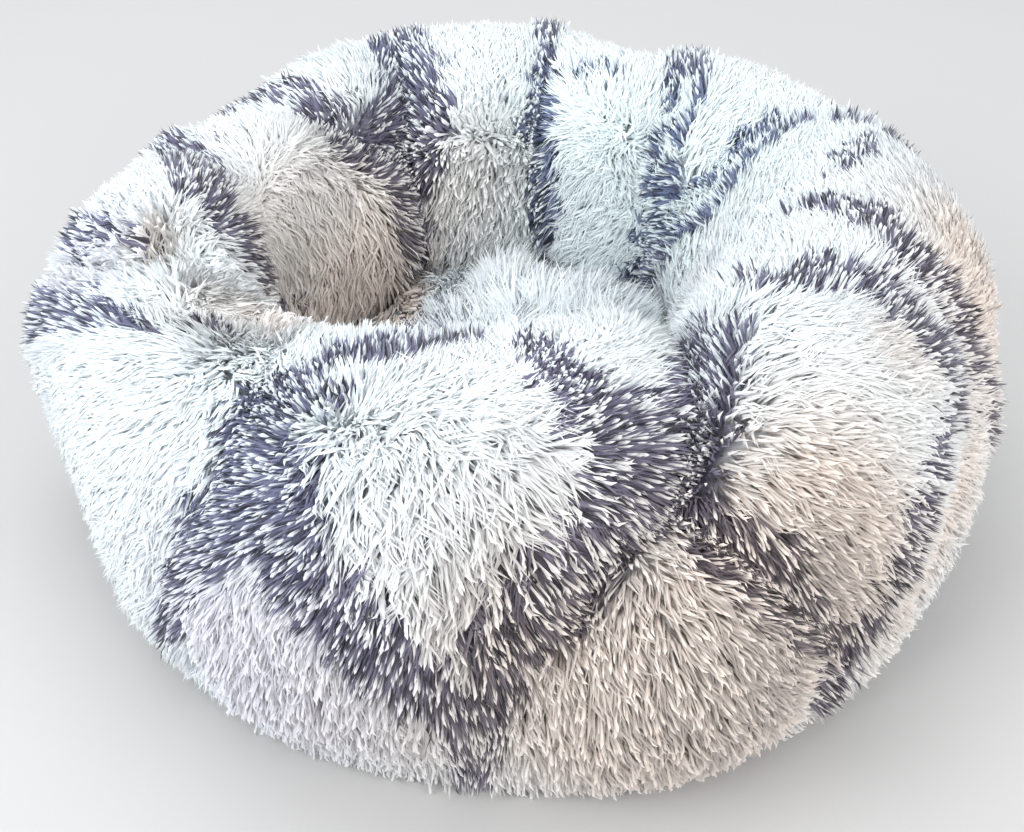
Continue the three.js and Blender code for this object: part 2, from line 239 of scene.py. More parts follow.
@dataclass(frozen=True)
class RingForm:
    """The stuffed ring as one formula, the same that the part's solids are drawn with."""

    diameter: float = 0.584
    height: float = 0.241
    width: float = 0.198
    foot_tuck: float = 0.047
    nest_undercut: float = 0.041
    foot: float = 0.0025
    widest_share: float = 0.42
    foot_fullness: float = 0.8
    flank_fullness: float = 0.92
    relief_at_foot: float = 0.35
    relief_full_at: float = 0.35
    fold_sharpness: float = 1.4
    fold_rounding: float = 0.006
    fade_length: float = 0.050
    end_share: float = 0.25
    step: float = 0.4
    folds: tuple[Fold, ...] = FOLDS
    swells: tuple[Swell, ...] = SWELLS

    @property
    def half_width(self) -> float:
        """Half of the section's width."""
        return self.width / 2

    @property
    def ring_radius(self) -> float:
        """Radius of the section's middle line."""
        return (self.diameter - self.width) / 2

    @property
    def widest(self) -> float:
        """Height at which the section is widest."""
        return self.widest_share * self.height

    @property
    def outer_foot(self) -> float:
        """Roll below the outer flank at which the skin reaches the base cloth, in degrees."""
        return math.degrees(math.acos((self.half_width - self.foot_tuck) / self.half_width))

    @property
    def inner_foot(self) -> float:
        """The same below the nest's flank."""
        return math.degrees(math.acos((self.half_width - self.nest_undercut) / self.half_width))

    def local_radius(self, roll: Array) -> Array:
        """Distance from the bed's axis at a roll, for arc lengths."""
        return self.ring_radius + self.half_width * np.cos(np.radians(roll))

    def closeness(self, spot: "Swell | Tint | Comb", turn: Array, roll: Array) -> Array:
        """How close places are to a round spot: exp(-(distance / radius) squared).

        Args:
            spot: Anything with a turn, a roll and a radius.
            turn: Turns of the places.
            roll: Rolls of the places.

        Returns:
            Shares of 0 to 1.
        """
        x = np.radians(turn_between(spot.turn, turn)) * self.local_radius(roll)
        y = np.radians(roll - spot.roll) * self.half_width
        return np.exp(-(x * x + y * y) / spot.radius**2)

    def rolls(self, count: int) -> Array:
        """Even rolls from the outer foot over the crest to the nest's foot, a degree inside."""
        return np.linspace(-self.outer_foot + 1.0, 180.0 + self.inner_foot - 1.0, count)

    def relief(self, turn: Array, roll: Array) -> Array:
        """Rise of the skin over the plain ring.

        Each fold takes off its depth times exp(-(distance / width) to the fold's sharpness),
        faded at the line's ends. Each swell adds its rise times exp(-(distance / radius) squared).

        Args:
            turn: Turns of the places.
            roll: Rolls of the places.

        Returns:
            Metres outwards along the section's own radius.
        """
        turn, roll = np.broadcast_arrays(np.asarray(turn, float), np.asarray(roll, float))
        radius = self.local_radius(roll)
        rise = np.zeros(turn.shape)
        for fold in self.folds:
            line = np.array(fold.line, float)
            distance, along, length = track_distance(line, turn, roll, radius, self.half_width)
            fade = smooth(along / self.fade_length + self.end_share)
            fade = fade * smooth((length - along) / self.fade_length + self.end_share)
            rounded = np.hypot(distance, self.fold_rounding) - self.fold_rounding
            drawn_in = np.exp(-((rounded / fold.width) ** self.fold_sharpness))
            rise = rise - fold.depth * fade * drawn_in
        for swell in self.swells:
            rise = rise + swell.rise * self.closeness(swell, turn, roll)
        return rise

    def points(self, turn: Array, roll: Array, inset: Array | float = 0.0) -> Array:
        """Points of the skin, sunk by inset from the mean height of the pile.

        Above the widest height the section is a sine and a cosine to the power of flank_fullness.
        Below it the skin falls to the foot by the sine to the power of foot_fullness. The relief
        grows from relief_at_foot to its full size over relief_full_at of the widest height.

        Args:
            turn: Turns of the places.
            roll: Rolls of the places.
            inset: How far the layer lies inside the mean height of the pile.

        Returns:
            Points, with x, y and z on the last axis.
        """
        turn, roll, inset = np.broadcast_arrays(np.asarray(turn, float), np.asarray(roll, float),
                                                np.asarray(inset, float))
        s, c = np.sin(np.radians(roll)), np.cos(np.radians(roll))
        widest = self.widest
        foot_roll = np.where(c > 0, self.outer_foot, self.inner_foot)
        fall = np.minimum(np.abs(s) / np.sin(np.radians(foot_roll)), 1.0) ** self.foot_fullness
        above = widest + (self.height - inset - widest) * s
        height = np.where(s > 0, above, widest - (widest - self.foot) * fall)
        reach = (self.half_width - inset) * np.sign(c) * np.abs(c) ** self.flank_fullness
        rise = self.relief(turn, roll)
        lifted = smooth((height - self.foot) / (self.relief_full_at * widest))
        radius = self.ring_radius + reach + rise * c * mix(self.relief_at_foot, 1.0, lifted)
        a = np.radians(turn)
        return np.stack([radius * np.cos(a), radius * np.sin(a), height + rise * s * lifted], -1)

    def place(self, points: Array) -> tuple[Array, Array]:
        """Turn and roll of points on or near the skin: the section's formula solved backwards.

        The height gives the sine and the distance from the middle line the cosine, each by the
        inverse power, and the two together the roll. The relief moves points along the section's
        own radius, which hardly changes the roll.

        Args:
            points: Points, with x, y and z on the last axis.

        Returns:
            Turn from 0 to 360 and roll from -90 to 270, in degrees.
        """
        widest = self.widest
        reach = np.hypot(points[..., 0], points[..., 1]) - self.ring_radius
        c = np.sign(reach) * (np.abs(reach) / self.half_width) ** (1.0 / self.flank_fullness)
        above = (points[..., 2] - widest) / (self.height - widest)
        foot_roll = np.where(c > 0, self.outer_foot, self.inner_foot)
        below = np.clip((widest - points[..., 2]) / (widest - self.foot), 0.0, None)
        below = -below ** (1.0 / self.foot_fullness) * np.sin(np.radians(foot_roll))
        s = np.where(above > 0, above, below)
        roll = np.degrees(np.arctan2(s, c))
        roll = np.where(roll < -90.0, roll + FULL_TURN, roll)
        return np.degrees(np.arctan2(points[..., 1], points[..., 0])) % FULL_TURN, roll

    def frames(self, turn: Array, roll: Array,
               inset: float) -> tuple[Array, Array, Array, Array]:
        """Points with the skin's own directions: differences over a small step either way.

        Args:
            turn: Turns of the places.
            roll: Rolls of the places.
            inset: How far the layer lies inside the mean height of the pile.

        Returns:
            Points, and unit directions along turn, along roll and outwards.
        """
        step, points = self.step, self.points
        point = points(turn, roll, inset)
        along = unit(points(turn + step, roll, inset) - points(turn - step, roll, inset))
        up = points(turn, roll + step, inset) - points(turn, roll - step, inset)
        outward = unit(np.cross(along, up))
        return point, along, np.cross(outward, along), outward


@dataclass(frozen=True)
class Streak:
    """A dyed streak: (turn, roll, half width in mm) along its middle, and how dark it is."""

    track: Track
    strength: float = 1.0


STREAKS = (
    # back left: the strong streak in the seam, its branch to the crest, the one by the far lobe
    Streak(((112, 40, 8), (114, 62, 11), (116, 81, 13), (117, 93, 15), (121, 111, 18),
             (124, 123, 19), (128, 137, 15), (132, 150, 12), (133, 165, 12), (132, 182, 12))),
    Streak(((146, 38, 5), (143, 60, 6), (143, 88, 8), (144, 102, 10), (141, 118, 14),
             (135, 127, 17), (127, 132, 17))),
    Streak(((154, 36, 6), (160, 55, 8), (166, 72, 10), (179, 89, 12), (186, 97, 12), (188, 106, 11),
             (184, 124, 9), (178, 137, 6), (174, 149, 3), (172, 164, 2))),
    Streak(((191, 96, 6), (190, 104, 8), (189, 112, 8), (190, 120, 6)), 0.85),
    Streak(((177, 33, 7), (184, 43, 10), (188, 52, 8), (190, 59, 5), (195, 68, 4)), 0.9),
    Streak(((178, 8, 7), (189, 21, 9), (197, 34, 9), (202, 44, 8), (207, 50, 6), (211, 56, 5),
             (215, 61, 3))),
    Streak(((217, 69, 2), (218, 75, 4), (221, 80, 4), (225, 83, 3)), 0.9),
    # back
    Streak(((90, 20, 6), (89, 50, 6), (87, 75, 6), (86, 90, 6), (87, 107, 4), (88, 118, 7),
             (88, 127, 8), (86, 137, 6), (85, 150, 4), (84, 160, 5), (84, 172, 5), (83, 190, 5)),
             0.9),
    Streak(((84, 103, 4), (78, 107, 5), (70, 104, 3)), 0.5),
    Streak(((60, 30, 7), (59, 60, 8), (58, 84, 8), (56, 96, 4), (54, 106, 2.5), (52, 121, 2.5),
             (50, 134, 3), (48, 143, 4), (46, 151, 4))),
    Streak(((54, 88, 8), (50, 95, 5), (47, 106, 2.5), (45, 120, 2.5), (43, 128, 3), (43, 135, 5),
             (43, 142, 9), (42, 149, 8), (42, 157, 8), (43, 165, 7), (43, 182, 7))),
    # back right
    Streak(((20, 45, 4), (21, 62, 4), (23, 75, 4), (25, 81, 3), (28, 90, 3), (30, 97, 3.5),
             (29, 108, 3.5), (27, 119, 3.5), (29, 127, 4), (33, 132, 4), (34, 138, 4),
             (35, 144, 3))),
    Streak(((26, 91, 2.5), (23, 100, 3), (22, 110, 3.5), (21, 120, 3.5), (17, 128, 3), (19, 135, 3),
             (24, 141, 4), (31, 148, 4), (38, 158, 5), (46, 168, 6))),
    Streak(((14, 74, 4), (9, 82, 6), (6, 90, 5), (2, 97, 3)), 0.8),
    Streak(((350, 112, 3), (350, 100, 5), (349, 92, 6), (347, 86, 7), (344, 80, 8), (342, 72, 8),
             (341, 60, 9), (341, 50, 11), (340, 42, 11), (340, 34, 10))),
    Streak(((319, 114, 3), (317, 103, 4), (318, 97, 5), (322, 94, 6), (327, 91, 7), (330, 84, 7),
             (332, 74, 9), (330, 66, 11), (329, 58, 12), (329, 49, 13), (332, 39, 12), (330, 32, 8),
             (325, 33, 5), (321, 32, 4), (317, 29, 4), (315, 22, 4), (314, 15, 5), (313, 8, 6),
             (312, 0, 8), (312, -9, 9), (311, -20, 8), (309, -32, 7))),
    Streak(((339, 32, 8), (342, 20, 7), (346, 5, 8), (349, -15, 7), (350, -40, 6)), 0.8),
    # front valley and its branches
    Streak(((308, 116, 5), (302, 104, 6), (298, 94, 6), (293, 80, 6), (289, 68, 8), (286, 56, 10),
             (284, 48, 11))),
    Streak(((303, 92, 6), (298, 80, 5), (295, 69, 6), (292, 58, 8), (290, 50, 10), (290, 44, 11))),
    Streak(((270, 96, 5), (273, 86, 8), (276, 76, 10), (279, 67, 12), (281, 59, 12), (281, 50, 13),
             (280, 40, 14), (276, 31, 15), (272, 23, 17), (269, 14, 15), (269, 4, 12),
             (267, -5, 11), (266, -23, 11), (265, -44, 9))),
    Streak(((280, 76, 5), (284, 66, 7), (286, 56, 9)), 0.9),
    Streak(((289, 48, 11), (291, 38, 10), (294, 29, 10), (297, 20, 10), (300, 10, 9), (304, 0, 8),
             (309, -9, 7), (312, -14, 7))),
    Streak(((297, 33, 4), (299, 25, 5), (300, 16, 5)), 0.9),
    # front left
    Streak(((262, 100, 5), (256, 97, 6), (250, 94, 8), (246, 89, 6), (243, 83, 6), (242, 75, 8),
             (240, 66, 13), (239, 56, 17), (240, 45, 20), (240, 36, 19), (238, 28, 15),
             (235, 22, 12), (233, 12, 9), (230, 0, 7), (228, -10, 6), (226, -24, 5))),
    Streak(((249, 70, 5), (245, 69, 6), (241, 64, 8)), 0.9),
    Streak(((246, 37, 16), (248, 30, 15), (251, 23, 13), (254, 16, 12), (257, 11, 12), (260, 8, 11),
             (263, 2, 11), (265, -10, 12))),
    # unseen side: the same dye goes on down the outer flank
    Streak(((143, 52, 5), (138, 34, 8), (128, 20, 9), (118, 8, 8), (112, -12, 8), (110, -40, 7))),
    Streak(((160, 36, 6), (162, 18, 8), (158, 0, 8), (150, -16, 8), (146, -40, 6)), 0.9),
    Streak(((90, 20, 6), (84, 4, 8), (76, -8, 9), (66, -18, 8), (62, -40, 7)), 0.9),
    Streak(((60, 30, 7), (52, 16, 8), (44, 6, 9), (38, -10, 8), (30, -34, 7))),
    Streak(((20, 45, 4), (17, 28, 6), (13, 12, 7), (8, -6, 7), (6, -34, 6)), 0.85),
    Streak(((112, 40, 8), (104, 26, 9), (98, 10, 8), (95, -12, 8), (92, -40, 6)), 0.9),
    Streak(((188, 8, 6), (184, -8, 8), (186, -26, 7), (190, -44, 6)), 0.8),
)


@dataclass(frozen=True)
class Tint:
    """A soft round patch: how much painted warm bounce light, painted shade, extra length, matting,
    painted bluish light and painted lavender shade its pile has.
    """

    turn: float
    roll: float
    radius: float
    cream: float = 0.0
    shade: float = 0.0
    longer: float = 0.0
    matted: float = 0.0
    cool: float = 0.0
    lilac: float = 0.0


TINTS = (
    # painted warm bounce light, in part with painted shade: the nest's left lobe and wall, the fold
    # left of it, the right flank, the lower front and the left wrinkles
    Tint(160, 135, 0.075, 0.35, 0.1), Tint(140, 145, 0.060, 0.3, 0.05),
    Tint(154, 176, 0.042, 1.0), Tint(182, 120, 0.050, 0.5), Tint(104, 148, 0.045, 0.3, 0.5),
    Tint(345, 20, 0.090, 0.6, 0.1), Tint(352, 45, 0.045, 0.9, 0.15),
    Tint(304, 24, 0.050, 0.7, 0.4), Tint(285, 0, 0.090, 1.0, 0.6),
    Tint(262, -20, 0.090, 0.4, 0.25), Tint(300, -20, 0.080, 0.6, 0.35),
    Tint(300, 40, 0.050, 0.25), Tint(322, 58, 0.025, 0.5, 0.35), Tint(300, 0, 0.040, 0.5, 0.4),
    Tint(322, -6, 0.045, 0.7, 0.15), Tint(331, 14, 0.030, 0.4, 0.1),
    Tint(268, 20, 0.030, 0.3, 0.5), Tint(215, 80, 0.035, 0.25, 0.06),
    Tint(195, 73, 0.018, 0.5, 1.0), Tint(217, 99, 0.030, 0.5, 0.2), Tint(225, 100, 0.020, 0.4, 0.2),
    # painted bluish light: the back right and its streaks, the left lobe, the streaks of the front
    # left
    Tint(86, 125, 0.045, cool=0.7), Tint(66, 135, 0.060, cool=1.0), Tint(45, 125, 0.060, cool=0.9),
    Tint(22, 108, 0.060, cool=0.8), Tint(120, 85, 0.040, cool=0.3), Tint(188, 32, 0.050, cool=0.5),
    Tint(212, 35, 0.060, cool=0.4), Tint(240, 45, 0.060, cool=0.4),
    # painted shade and lavender shade: the left lobe's outer flank, a hollow by the left wrinkles,
    # low at the left
    Tint(192, 42, 0.042, shade=0.8, lilac=0.9), Tint(196, 76, 0.013, 0.3, 0.9),
    Tint(240, -8, 0.065, shade=0.25, lilac=1.0), Tint(252, -14, 0.060, shade=0.25, lilac=0.6),
    # longer pile on the two front lobes, matted pile where the left wrinkles run into the nest
    Tint(262, 48, 0.070, longer=0.45, matted=0.25), Tint(300, 66, 0.060, longer=0.25),
    Tint(148, 168, 0.035, longer=0.55), Tint(204, 78, 0.032, longer=0.35, matted=1.0),
    Tint(224, 78, 0.028, longer=0.2, matted=0.5), Tint(190, 62, 0.026, longer=0.2, matted=0.8),
    Tint(104, 122, 0.024, matted=0.5),
)


@dataclass(frozen=True)
class Comb:
    """Which way the pile is laid: heading 0 is along turn, 90 along roll, towards the crest."""

    turn: float
    roll: float
    heading: float
    radius: float = 0.030


COMBS = (
    # back left lobes and the far left fold
    Comb(132, 96, 285), Comb(161, 87, 235), Comb(183, 56, 205), Comb(163, 122, 65),
    Comb(157, 163, 60), Comb(137, 150, 60), Comb(168, 150, 80), Comb(113, 151, 70),
    Comb(104, 106, 262), Comb(190, 105, 40), Comb(187, 42, 220), Comb(199, 42, 230),
    Comb(200, 69, 190, 0.018), Comb(211, 81, 25, 0.018), Comb(176, 40, 240), Comb(150, 75, 262),
    # left lobe, round its whorl
    Comb(210, 59, 235, 0.020), Comb(203, 39, 228), Comb(218, 39, 238), Comb(223, 51, 255, 0.020),
    Comb(214, 22, 238), Comb(225, 28, 250), Comb(230, 54, 280, 0.018), Comb(229, 71, 350, 0.018),
    Comb(234, 74, 0, 0.018),
    # left of the front bulge
    Comb(233, 36, 260), Comb(238, 48, 285), Comb(247, 42, 294), Comb(246, 28, 292),
    Comb(241, 28, 284),
    # front bulge: down below its parting, along the crest above it
    Comb(254, 35, 288), Comb(261, 36, 280), Comb(268, 37, 290), Comb(265, 54, 285, 0.018),
    Comb(255, 56, 290, 0.018), Comb(253, 66, 40, 0.018), Comb(261, 69, 20, 0.018),
    Comb(269, 71, 10, 0.018), Comb(274, 80, 350, 0.020), Comb(279, 72, 0, 0.020),
    Comb(241, 83, 115), Comb(247, 90, 100), Comb(255, 94, 70), Comb(268, 90, 120),
    Comb(274, 59, 0, 0.018), Comb(273, 54, 338, 0.018), Comb(273, 48, 322, 0.018),
    Comb(275, 36, 315), Comb(272, 26, 297),
    # front valley
    Comb(283, 66, 25, 0.020), Comb(284, 57, 45, 0.018), Comb(291, 77, 15, 0.018),
    Comb(291, 65, 350, 0.018),
    # right lobe
    Comb(302, 84, 310), Comb(306, 71, 318), Comb(317, 64, 326), Comb(302, 60, 325),
    Comb(311, 52, 330), Comb(296, 55, 325), Comb(305, 46, 325), Comb(294, 44, 315),
    Comb(302, 33, 320), Comb(311, 26, 320), Comb(335, 53, 335), Comb(335, 38, 335),
    Comb(342, 42, 345), Comb(332, 26, 320), Comb(318, 5, 315), Comb(314, -5, 322),
    Comb(316, 32, 328), Comb(316, 72, 338), Comb(305, 90, 335, 0.020),
    # lower front
    Comb(289, 31, 285), Comb(282, 31, 297), Comb(279, 16, 306), Comb(287, 16, 292),
    Comb(293, 2, 288), Comb(301, 11, 315), Comb(310, -13, 325), Comb(278, -5, 293),
    Comb(285, -1, 295), Comb(270, -18, 300), Comb(263, 16, 276), Comb(257, 1, 279),
    Comb(248, 0, 280), Comb(239, 2, 278), Comb(249, 16, 288), Comb(230, 6, 252), Comb(236, 9, 270),
    Comb(226, -10, 245),
    # back right, where the pile stands up over the streaks
    Comb(73, 142, 55), Comb(62, 159, 50), Comb(66, 150, 55), Comb(77, 155, 59),
    Comb(61, 133, 190, 0.018), Comb(66, 128, 55, 0.018), Comb(52, 139, 195, 0.018),
    Comb(83, 126, 20, 0.018), Comb(77, 109, 300), Comb(70, 113, 290), Comb(61, 100, 300),
    Comb(46, 116, 235), Comb(48, 138, 225), Comb(46, 160, 245), Comb(26, 138, 240),
    Comb(26, 113, 268), Comb(31, 90, 320), Comb(24, 76, 335), Comb(9, 77, 15), Comb(3, 91, 18),
    Comb(350, 105, 0), Comb(344, 89, 45), Comb(14, 121, 270), Comb(1, 111, 325),
    Comb(315, 101, 35, 0.020), Comb(320, 92, 35, 0.020), Comb(327, 83, 5, 0.020),
    Comb(332, 70, 340), Comb(349, 50, 70), Comb(357, 63, 62), Comb(8, 63, 40),
    # unseen outer back: combed down
    Comb(40, 40, 275), Comb(75, 45, 270), Comb(105, 45, 268), Comb(130, 50, 265),
    Comb(155, 45, 262), Comb(20, 10, 280), Comb(60, 5, 270), Comb(100, 5, 270), Comb(140, 5, 268),
    Comb(180, 0, 262), Comb(350, 10, 300), Comb(0, -25, 275), Comb(45, -30, 270),
    Comb(90, -30, 270), Comb(135, -30, 270), Comb(180, -30, 268), Comb(215, -25, 258),
    Comb(330, -25, 300),
)


@dataclass(frozen=True)
class Coat:
    """Everything that varies over the fabric: dye, tints (painted light and shade, and the pile's
    length and matting) and the lay of the pile.
    """

    form: RingForm
    streaks: tuple[Streak, ...] = STREAKS
    tints: tuple[Tint, ...] = TINTS
    combs: tuple[Comb, ...] = COMBS
    spread: float = 1.35
    edge_softness: float = 0.50
    edge_noise: float = 0.006
    edge_bump: float = 0.011
    fine_bump: float = 0.005
    fine_share: float = 0.6
    faint_pull: float = 0.004

    def darkness(self, turn: Array, roll: Array) -> Array:
        """Chance of a dyed strand, 0 to 1.

        Inside a streak it is one, and it falls over a border as wide as edge_softness times the
        width. Two noises move the border by up to about edge_noise, so that it is ragged.

        Args:
            turn: Turns of the places.
            roll: Rolls of the places.

        Returns:
            The chance at each place.
        """
        radius = self.form.local_radius(roll)
        u, v = np.radians(turn) * radius, np.radians(roll) * self.form.half_width
        fine = value_noise(u / self.fine_bump, v / self.fine_bump, Seed.FINE_BORDERS)
        ragged = value_noise(u / self.edge_bump, v / self.edge_bump, Seed.BORDERS)
        ragged = ragged + self.fine_share * fine
        dark = np.zeros(turn.shape)
        for streak in self.streaks:
            track = np.array(streak.track, float) * np.array([1.0, 1.0, MILLIMETRE])
            distance, _, half = track_distance(track, turn, roll, radius, self.form.half_width)
            half = half * self.spread
            inside = half - distance + self.edge_noise * ragged
            inside = inside / (half * self.edge_softness * 2) + 0.5
            dark = np.maximum(dark, streak.strength * smooth(inside))
        return dark

    def patches(self, turn: Array, roll: Array) -> Array:
        """Painted warm bounce light, painted shade, extra length, matting, painted bluish light and
        painted lavender shade: sums of soft patches, 0 to 1.

        Args:
            turn: Turns of the places.
            roll: Rolls of the places.

        Returns:
            Six rows, one for each of the patches' strengths.
        """
        sums = np.zeros((6, *turn.shape))
        for tint in self.tints:
            strengths = np.array([tint.cream, tint.shade, tint.longer, tint.matted, tint.cool,
                                  tint.lilac])
            sums = sums + np.multiply.outer(strengths, self.form.closeness(tint, turn, roll))
        return np.clip(sums, 0.0, 1.0)

    def lay(self, turn: Array, roll: Array) -> tuple[Array, Array, Array]:
        """Unit direction of the pile along turn and along roll, and how flat it lies.

        A weighted sum of the combs' directions, each weighing exp(-(distance / radius) squared),
        with a faint pull down the flanks where no comb is near. Where the combs disagree the sum
        is short against the weights: the pile parts there and stands up.

        Args:
            turn: Turns of the places.
            roll: Rolls of the places.

        Returns:
            Direction along turn, direction along roll, and flatness from 0 to 1.
        """
        along = np.zeros(turn.shape)
        up = self.faint_pull * np.where(roll < 90, -1.0, 1.0)
        total = np.full(turn.shape, self.faint_pull)
        for comb in self.combs:
            weight = self.form.closeness(comb, turn, roll)
            along = along + weight * math.cos(math.radians(comb.heading))
            up = up + weight * math.sin(math.radians(comb.heading))
            total = total + weight
        size = np.hypot(along, up) + 1e-9
        return along / size, up / size, np.clip(size / total, 0.0, 1.0)


class Slot(Enum):
    """The record's material slots."""

    RING_FUR = "ring_fur"
    CUSHION_FUR = "cushion_fur"
    FIBRE = "filling_fibre"
    CLOTH = "base_fabric"


@dataclass(frozen=True)
class FurColours:
    """Colours of the pile, as linear red, green and blue."""

    # undyed roots darker and bluer than the tips: painted shade between the strands
    white_tip: Colour = (0.90, 0.965, 0.99)
    white_root: Colour = (0.80, 0.88, 0.95)
    # painted warm bounce light, darker at the root with painted shade
    cream_tip: Colour = (0.95, 0.84, 0.76)
    cream_root: Colour = (0.78, 0.63, 0.53)
    # painted bluish light
    cool_tip: Colour = (0.88, 0.98, 1.00)
    cool_root: Colour = (0.84, 0.95, 1.00)
    # painted lavender shade
    lilac_tip: Colour = (0.90, 0.90, 0.99)
    lilac_root: Colour = (0.83, 0.84, 0.96)
    # dyed roots a little lighter than the tips: painted light that lifts the shade at the roots
    dark_tip: Colour = (0.172, 0.167, 0.262)
    dark_root: Colour = (0.192, 0.187, 0.282)
    # dyed pile in painted warm bounce light
    warm_tip: Colour = (0.190, 0.155, 0.170)
    warm_root: Colour = (0.200, 0.162, 0.170)
    # dyed pile in painted bluish light
    blue_tip: Colour = (0.180, 0.222, 0.368)
    blue_root: Colour = (0.198, 0.243, 0.385)

    def shades(self, dyed: bool, cream: Array, cool: Array, lilac: Array) -> tuple[Array, Array]:
        """Tip and root colours, undyed or dyed, blended by the patches of painted light and shade one
        after the other.

        Args:
            dyed: Whether the dyed colours are wanted.
            cream: Share of the painted warm bounce light, warm off-white, or a warmer dark where
                dyed.
            cool: Share of the painted bluish light, pale blue, or slate where dyed.
            lilac: Share of the painted lavender shade; it leaves dyed colours alone.

        Returns:
            One row of red, green and blue a strand, for tips and for roots.
        """
        undyed_steps = (("cool", cool), ("lilac", lilac), ("cream", cream))
        steps = (("blue", cool), ("warm", cream)) if dyed else undyed_steps
        ends = []
        for end in ("tip", "root"):
            colour = np.array(getattr(self, f"{'dark' if dyed else 'white'}_{end}"))
            for name, share in steps:
                colour = mix(colour, np.array(getattr(self, f"{name}_{end}")), share[:, None])
            ends.append(colour)
        return ends[0], ends[1]


def node_material(name: str, roughness: float) -> tuple[Material, Tree, Node]:
    """A new material, with a constant roughness.

    Args:
        name: The material's name.
        roughness: Roughness of its Principled shader.

    Returns:
        The material, its node tree and its Principled shader.
    """
    material = bpy.data.materials.new(name)
    material.use_nodes = True
    shader = material.node_tree.nodes["Principled BSDF"]
    shader.inputs["Roughness"].default_value = roughness
    return material, material.node_tree, shader


def add_node(tree: Tree, kind: str, values: dict[str, float] | None = None) -> Node:
    """Add a shader node.

    Args:
        tree: The tree it goes to.
        kind: Its kind, such as TexNoise.
        values: Values of its inputs, by their names.

    Returns:
        The node.
    """
    node = tree.nodes.new(f"ShaderNode{kind}")
    for name, value in (values or {}).items():
        node.inputs[name].default_value = value
    return node


def add_ramp(tree: Tree, share: Socket, low: Rgba, high: Rgba) -> Socket:
    """Blend two colours by a share of 0 to 1.

    Args:
        tree: The tree of the nodes.
        share: The output that gives the share.
        low: Colour at 0.
        high: Colour at 1.

    Returns:
        The output with the blended colour.
    """
    ramp = add_node(tree, "ValToRGB")
    ramp.color_ramp.elements[0].color = low
    ramp.color_ramp.elements[1].color = high
    tree.links.new(share, ramp.inputs["Fac"])
    return ramp.outputs["Color"]


def object_place(tree: Tree) -> Socket:
    """The output with a point's Object coordinates."""
    return add_node(tree, "TexCoord").outputs["Object"]


def dress_shader(tree: Tree, shader: Node, height: Socket, colours: tuple[Rgba, Rgba],
                 depth: float) -> None:
    """Colour a shader and raise its bumps by one and the same pattern.

    Args:
        tree: The tree of the nodes.
        shader: The Principled shader.
        height: The output with the pattern, from 0 to 1.
        colours: Colours at 0 and at 1.
        depth: Height of the bumps.
    """
    bump = add_node(tree, "Bump", {"Distance": depth})
    tree.links.new(add_ramp(tree, height, *colours), shader.inputs["Base Color"])
    tree.links.new(height, bump.inputs["Height"])
    tree.links.new(bump.outputs["Normal"], shader.inputs["Normal"])


@dataclass(frozen=True)
class PileFinish:
    """Plush fibre: its colour comes from the strand, broken up by fine noise."""

    name: str
    roughness: float = 0.62
    specular: float = 0.25
    sheen: float = 0.35
    sheen_roughness: float = 0.5
    grain: float = 900.0
    grain_detail: float = 1.0
    grain_share: float = 0.06

    def build(self) -> Material:
        """Build the material: the strand's colour times a fine noise in Object coordinates.

        Returns:
            The material.
        """
        material, tree, shader = node_material(self.name, self.roughness)
        colour = add_node(tree, "Attribute")
        colour.attribute_name = PILE_COLOUR
        noise = add_node(tree, "TexNoise", {"Scale": self.grain, "Detail": self.grain_detail})
        level = add_node(tree, "MapRange", {"To Min": 1.0 - self.grain_share,
                                            "To Max": 1.0 + self.grain_share})
        blend = add_node(tree, "Mix")
        blend.data_type = "RGBA"
        blend.blend_type = "MULTIPLY"
        blend.inputs["Factor"].default_value = 1.0
        tree.links.new(object_place(tree), noise.inputs["Vector"])
        tree.links.new(noise.outputs["Fac"], level.inputs["Value"])
        tree.links.new(colour.outputs["Color"], blend.inputs["A"])
        tree.links.new(level.outputs["Result"], blend.inputs["B"])
        tree.links.new(blend.outputs["Result"], shader.inputs["Base Color"])
        shader.inputs["Specular IOR Level"].default_value = self.specular
        shader.inputs["Sheen Weight"].default_value = self.sheen
        shader.inputs["Sheen Roughness"].default_value = self.sheen_roughness
        return material


@dataclass(frozen=True)
class FibreFinish:
    """Loose polyester fibre: off-white, with soft lumps and fine threads."""

    name: str = "polyester_fibre"
    light: Rgba = (0.90, 0.89, 0.86, 1.0)
    dark: Rgba = (0.70, 0.69, 0.66, 1.0)
    roughness: float = 0.95
    lumps: float = 45.0
    threads: float = 6.0
    bump: float = 0.002

    def build(self) -> Material:
        """Build the material: one noise in Object coordinates for the colour and the bumps.

        Returns:
            The material.
        """
        material, tree, shader = node_material(self.name, self.roughness)
        noise = add_node(tree, "TexNoise", {"Scale": self.lumps, "Detail": self.threads})
        tree.links.new(object_place(tree), noise.inputs["Vector"])
        dress_shader(tree, shader, noise.outputs["Fac"], (self.dark, self.light), self.bump)
        return material


@dataclass(frozen=True)
class WeaveFinish:
    """Plain woven cloth: two crossed waves of threads."""

    name: str
    colour: Rgba
    dark: Rgba
    threads: float = 450.0
    roughness: float = 0.85
    unevenness: float = 0.4
    bump: float = 0.0004

    def build(self) -> Material:
        """Build the material: waves along x and along y in Object coordinates, multiplied.

        Returns:
            The material.
        """
        material, tree, shader = node_material(self.name, self.roughness)
        place = object_place(tree)
        weave = add_node(tree, "Math")
        weave.operation = "MULTIPLY"
        for number, direction in enumerate(("X", "Y")):
            wave = add_node(tree, "TexWave", {"Scale": self.threads,
                                              "Distortion": self.unevenness})
            wave.bands_direction = direction
            tree.links.new(place, wave.inputs["Vector"])
            tree.links.new(wave.outputs["Fac"], weave.inputs[number])
        dress_shader(tree, shader, weave.outputs["Value"], (self.dark, self.colour), self.bump)
        return material


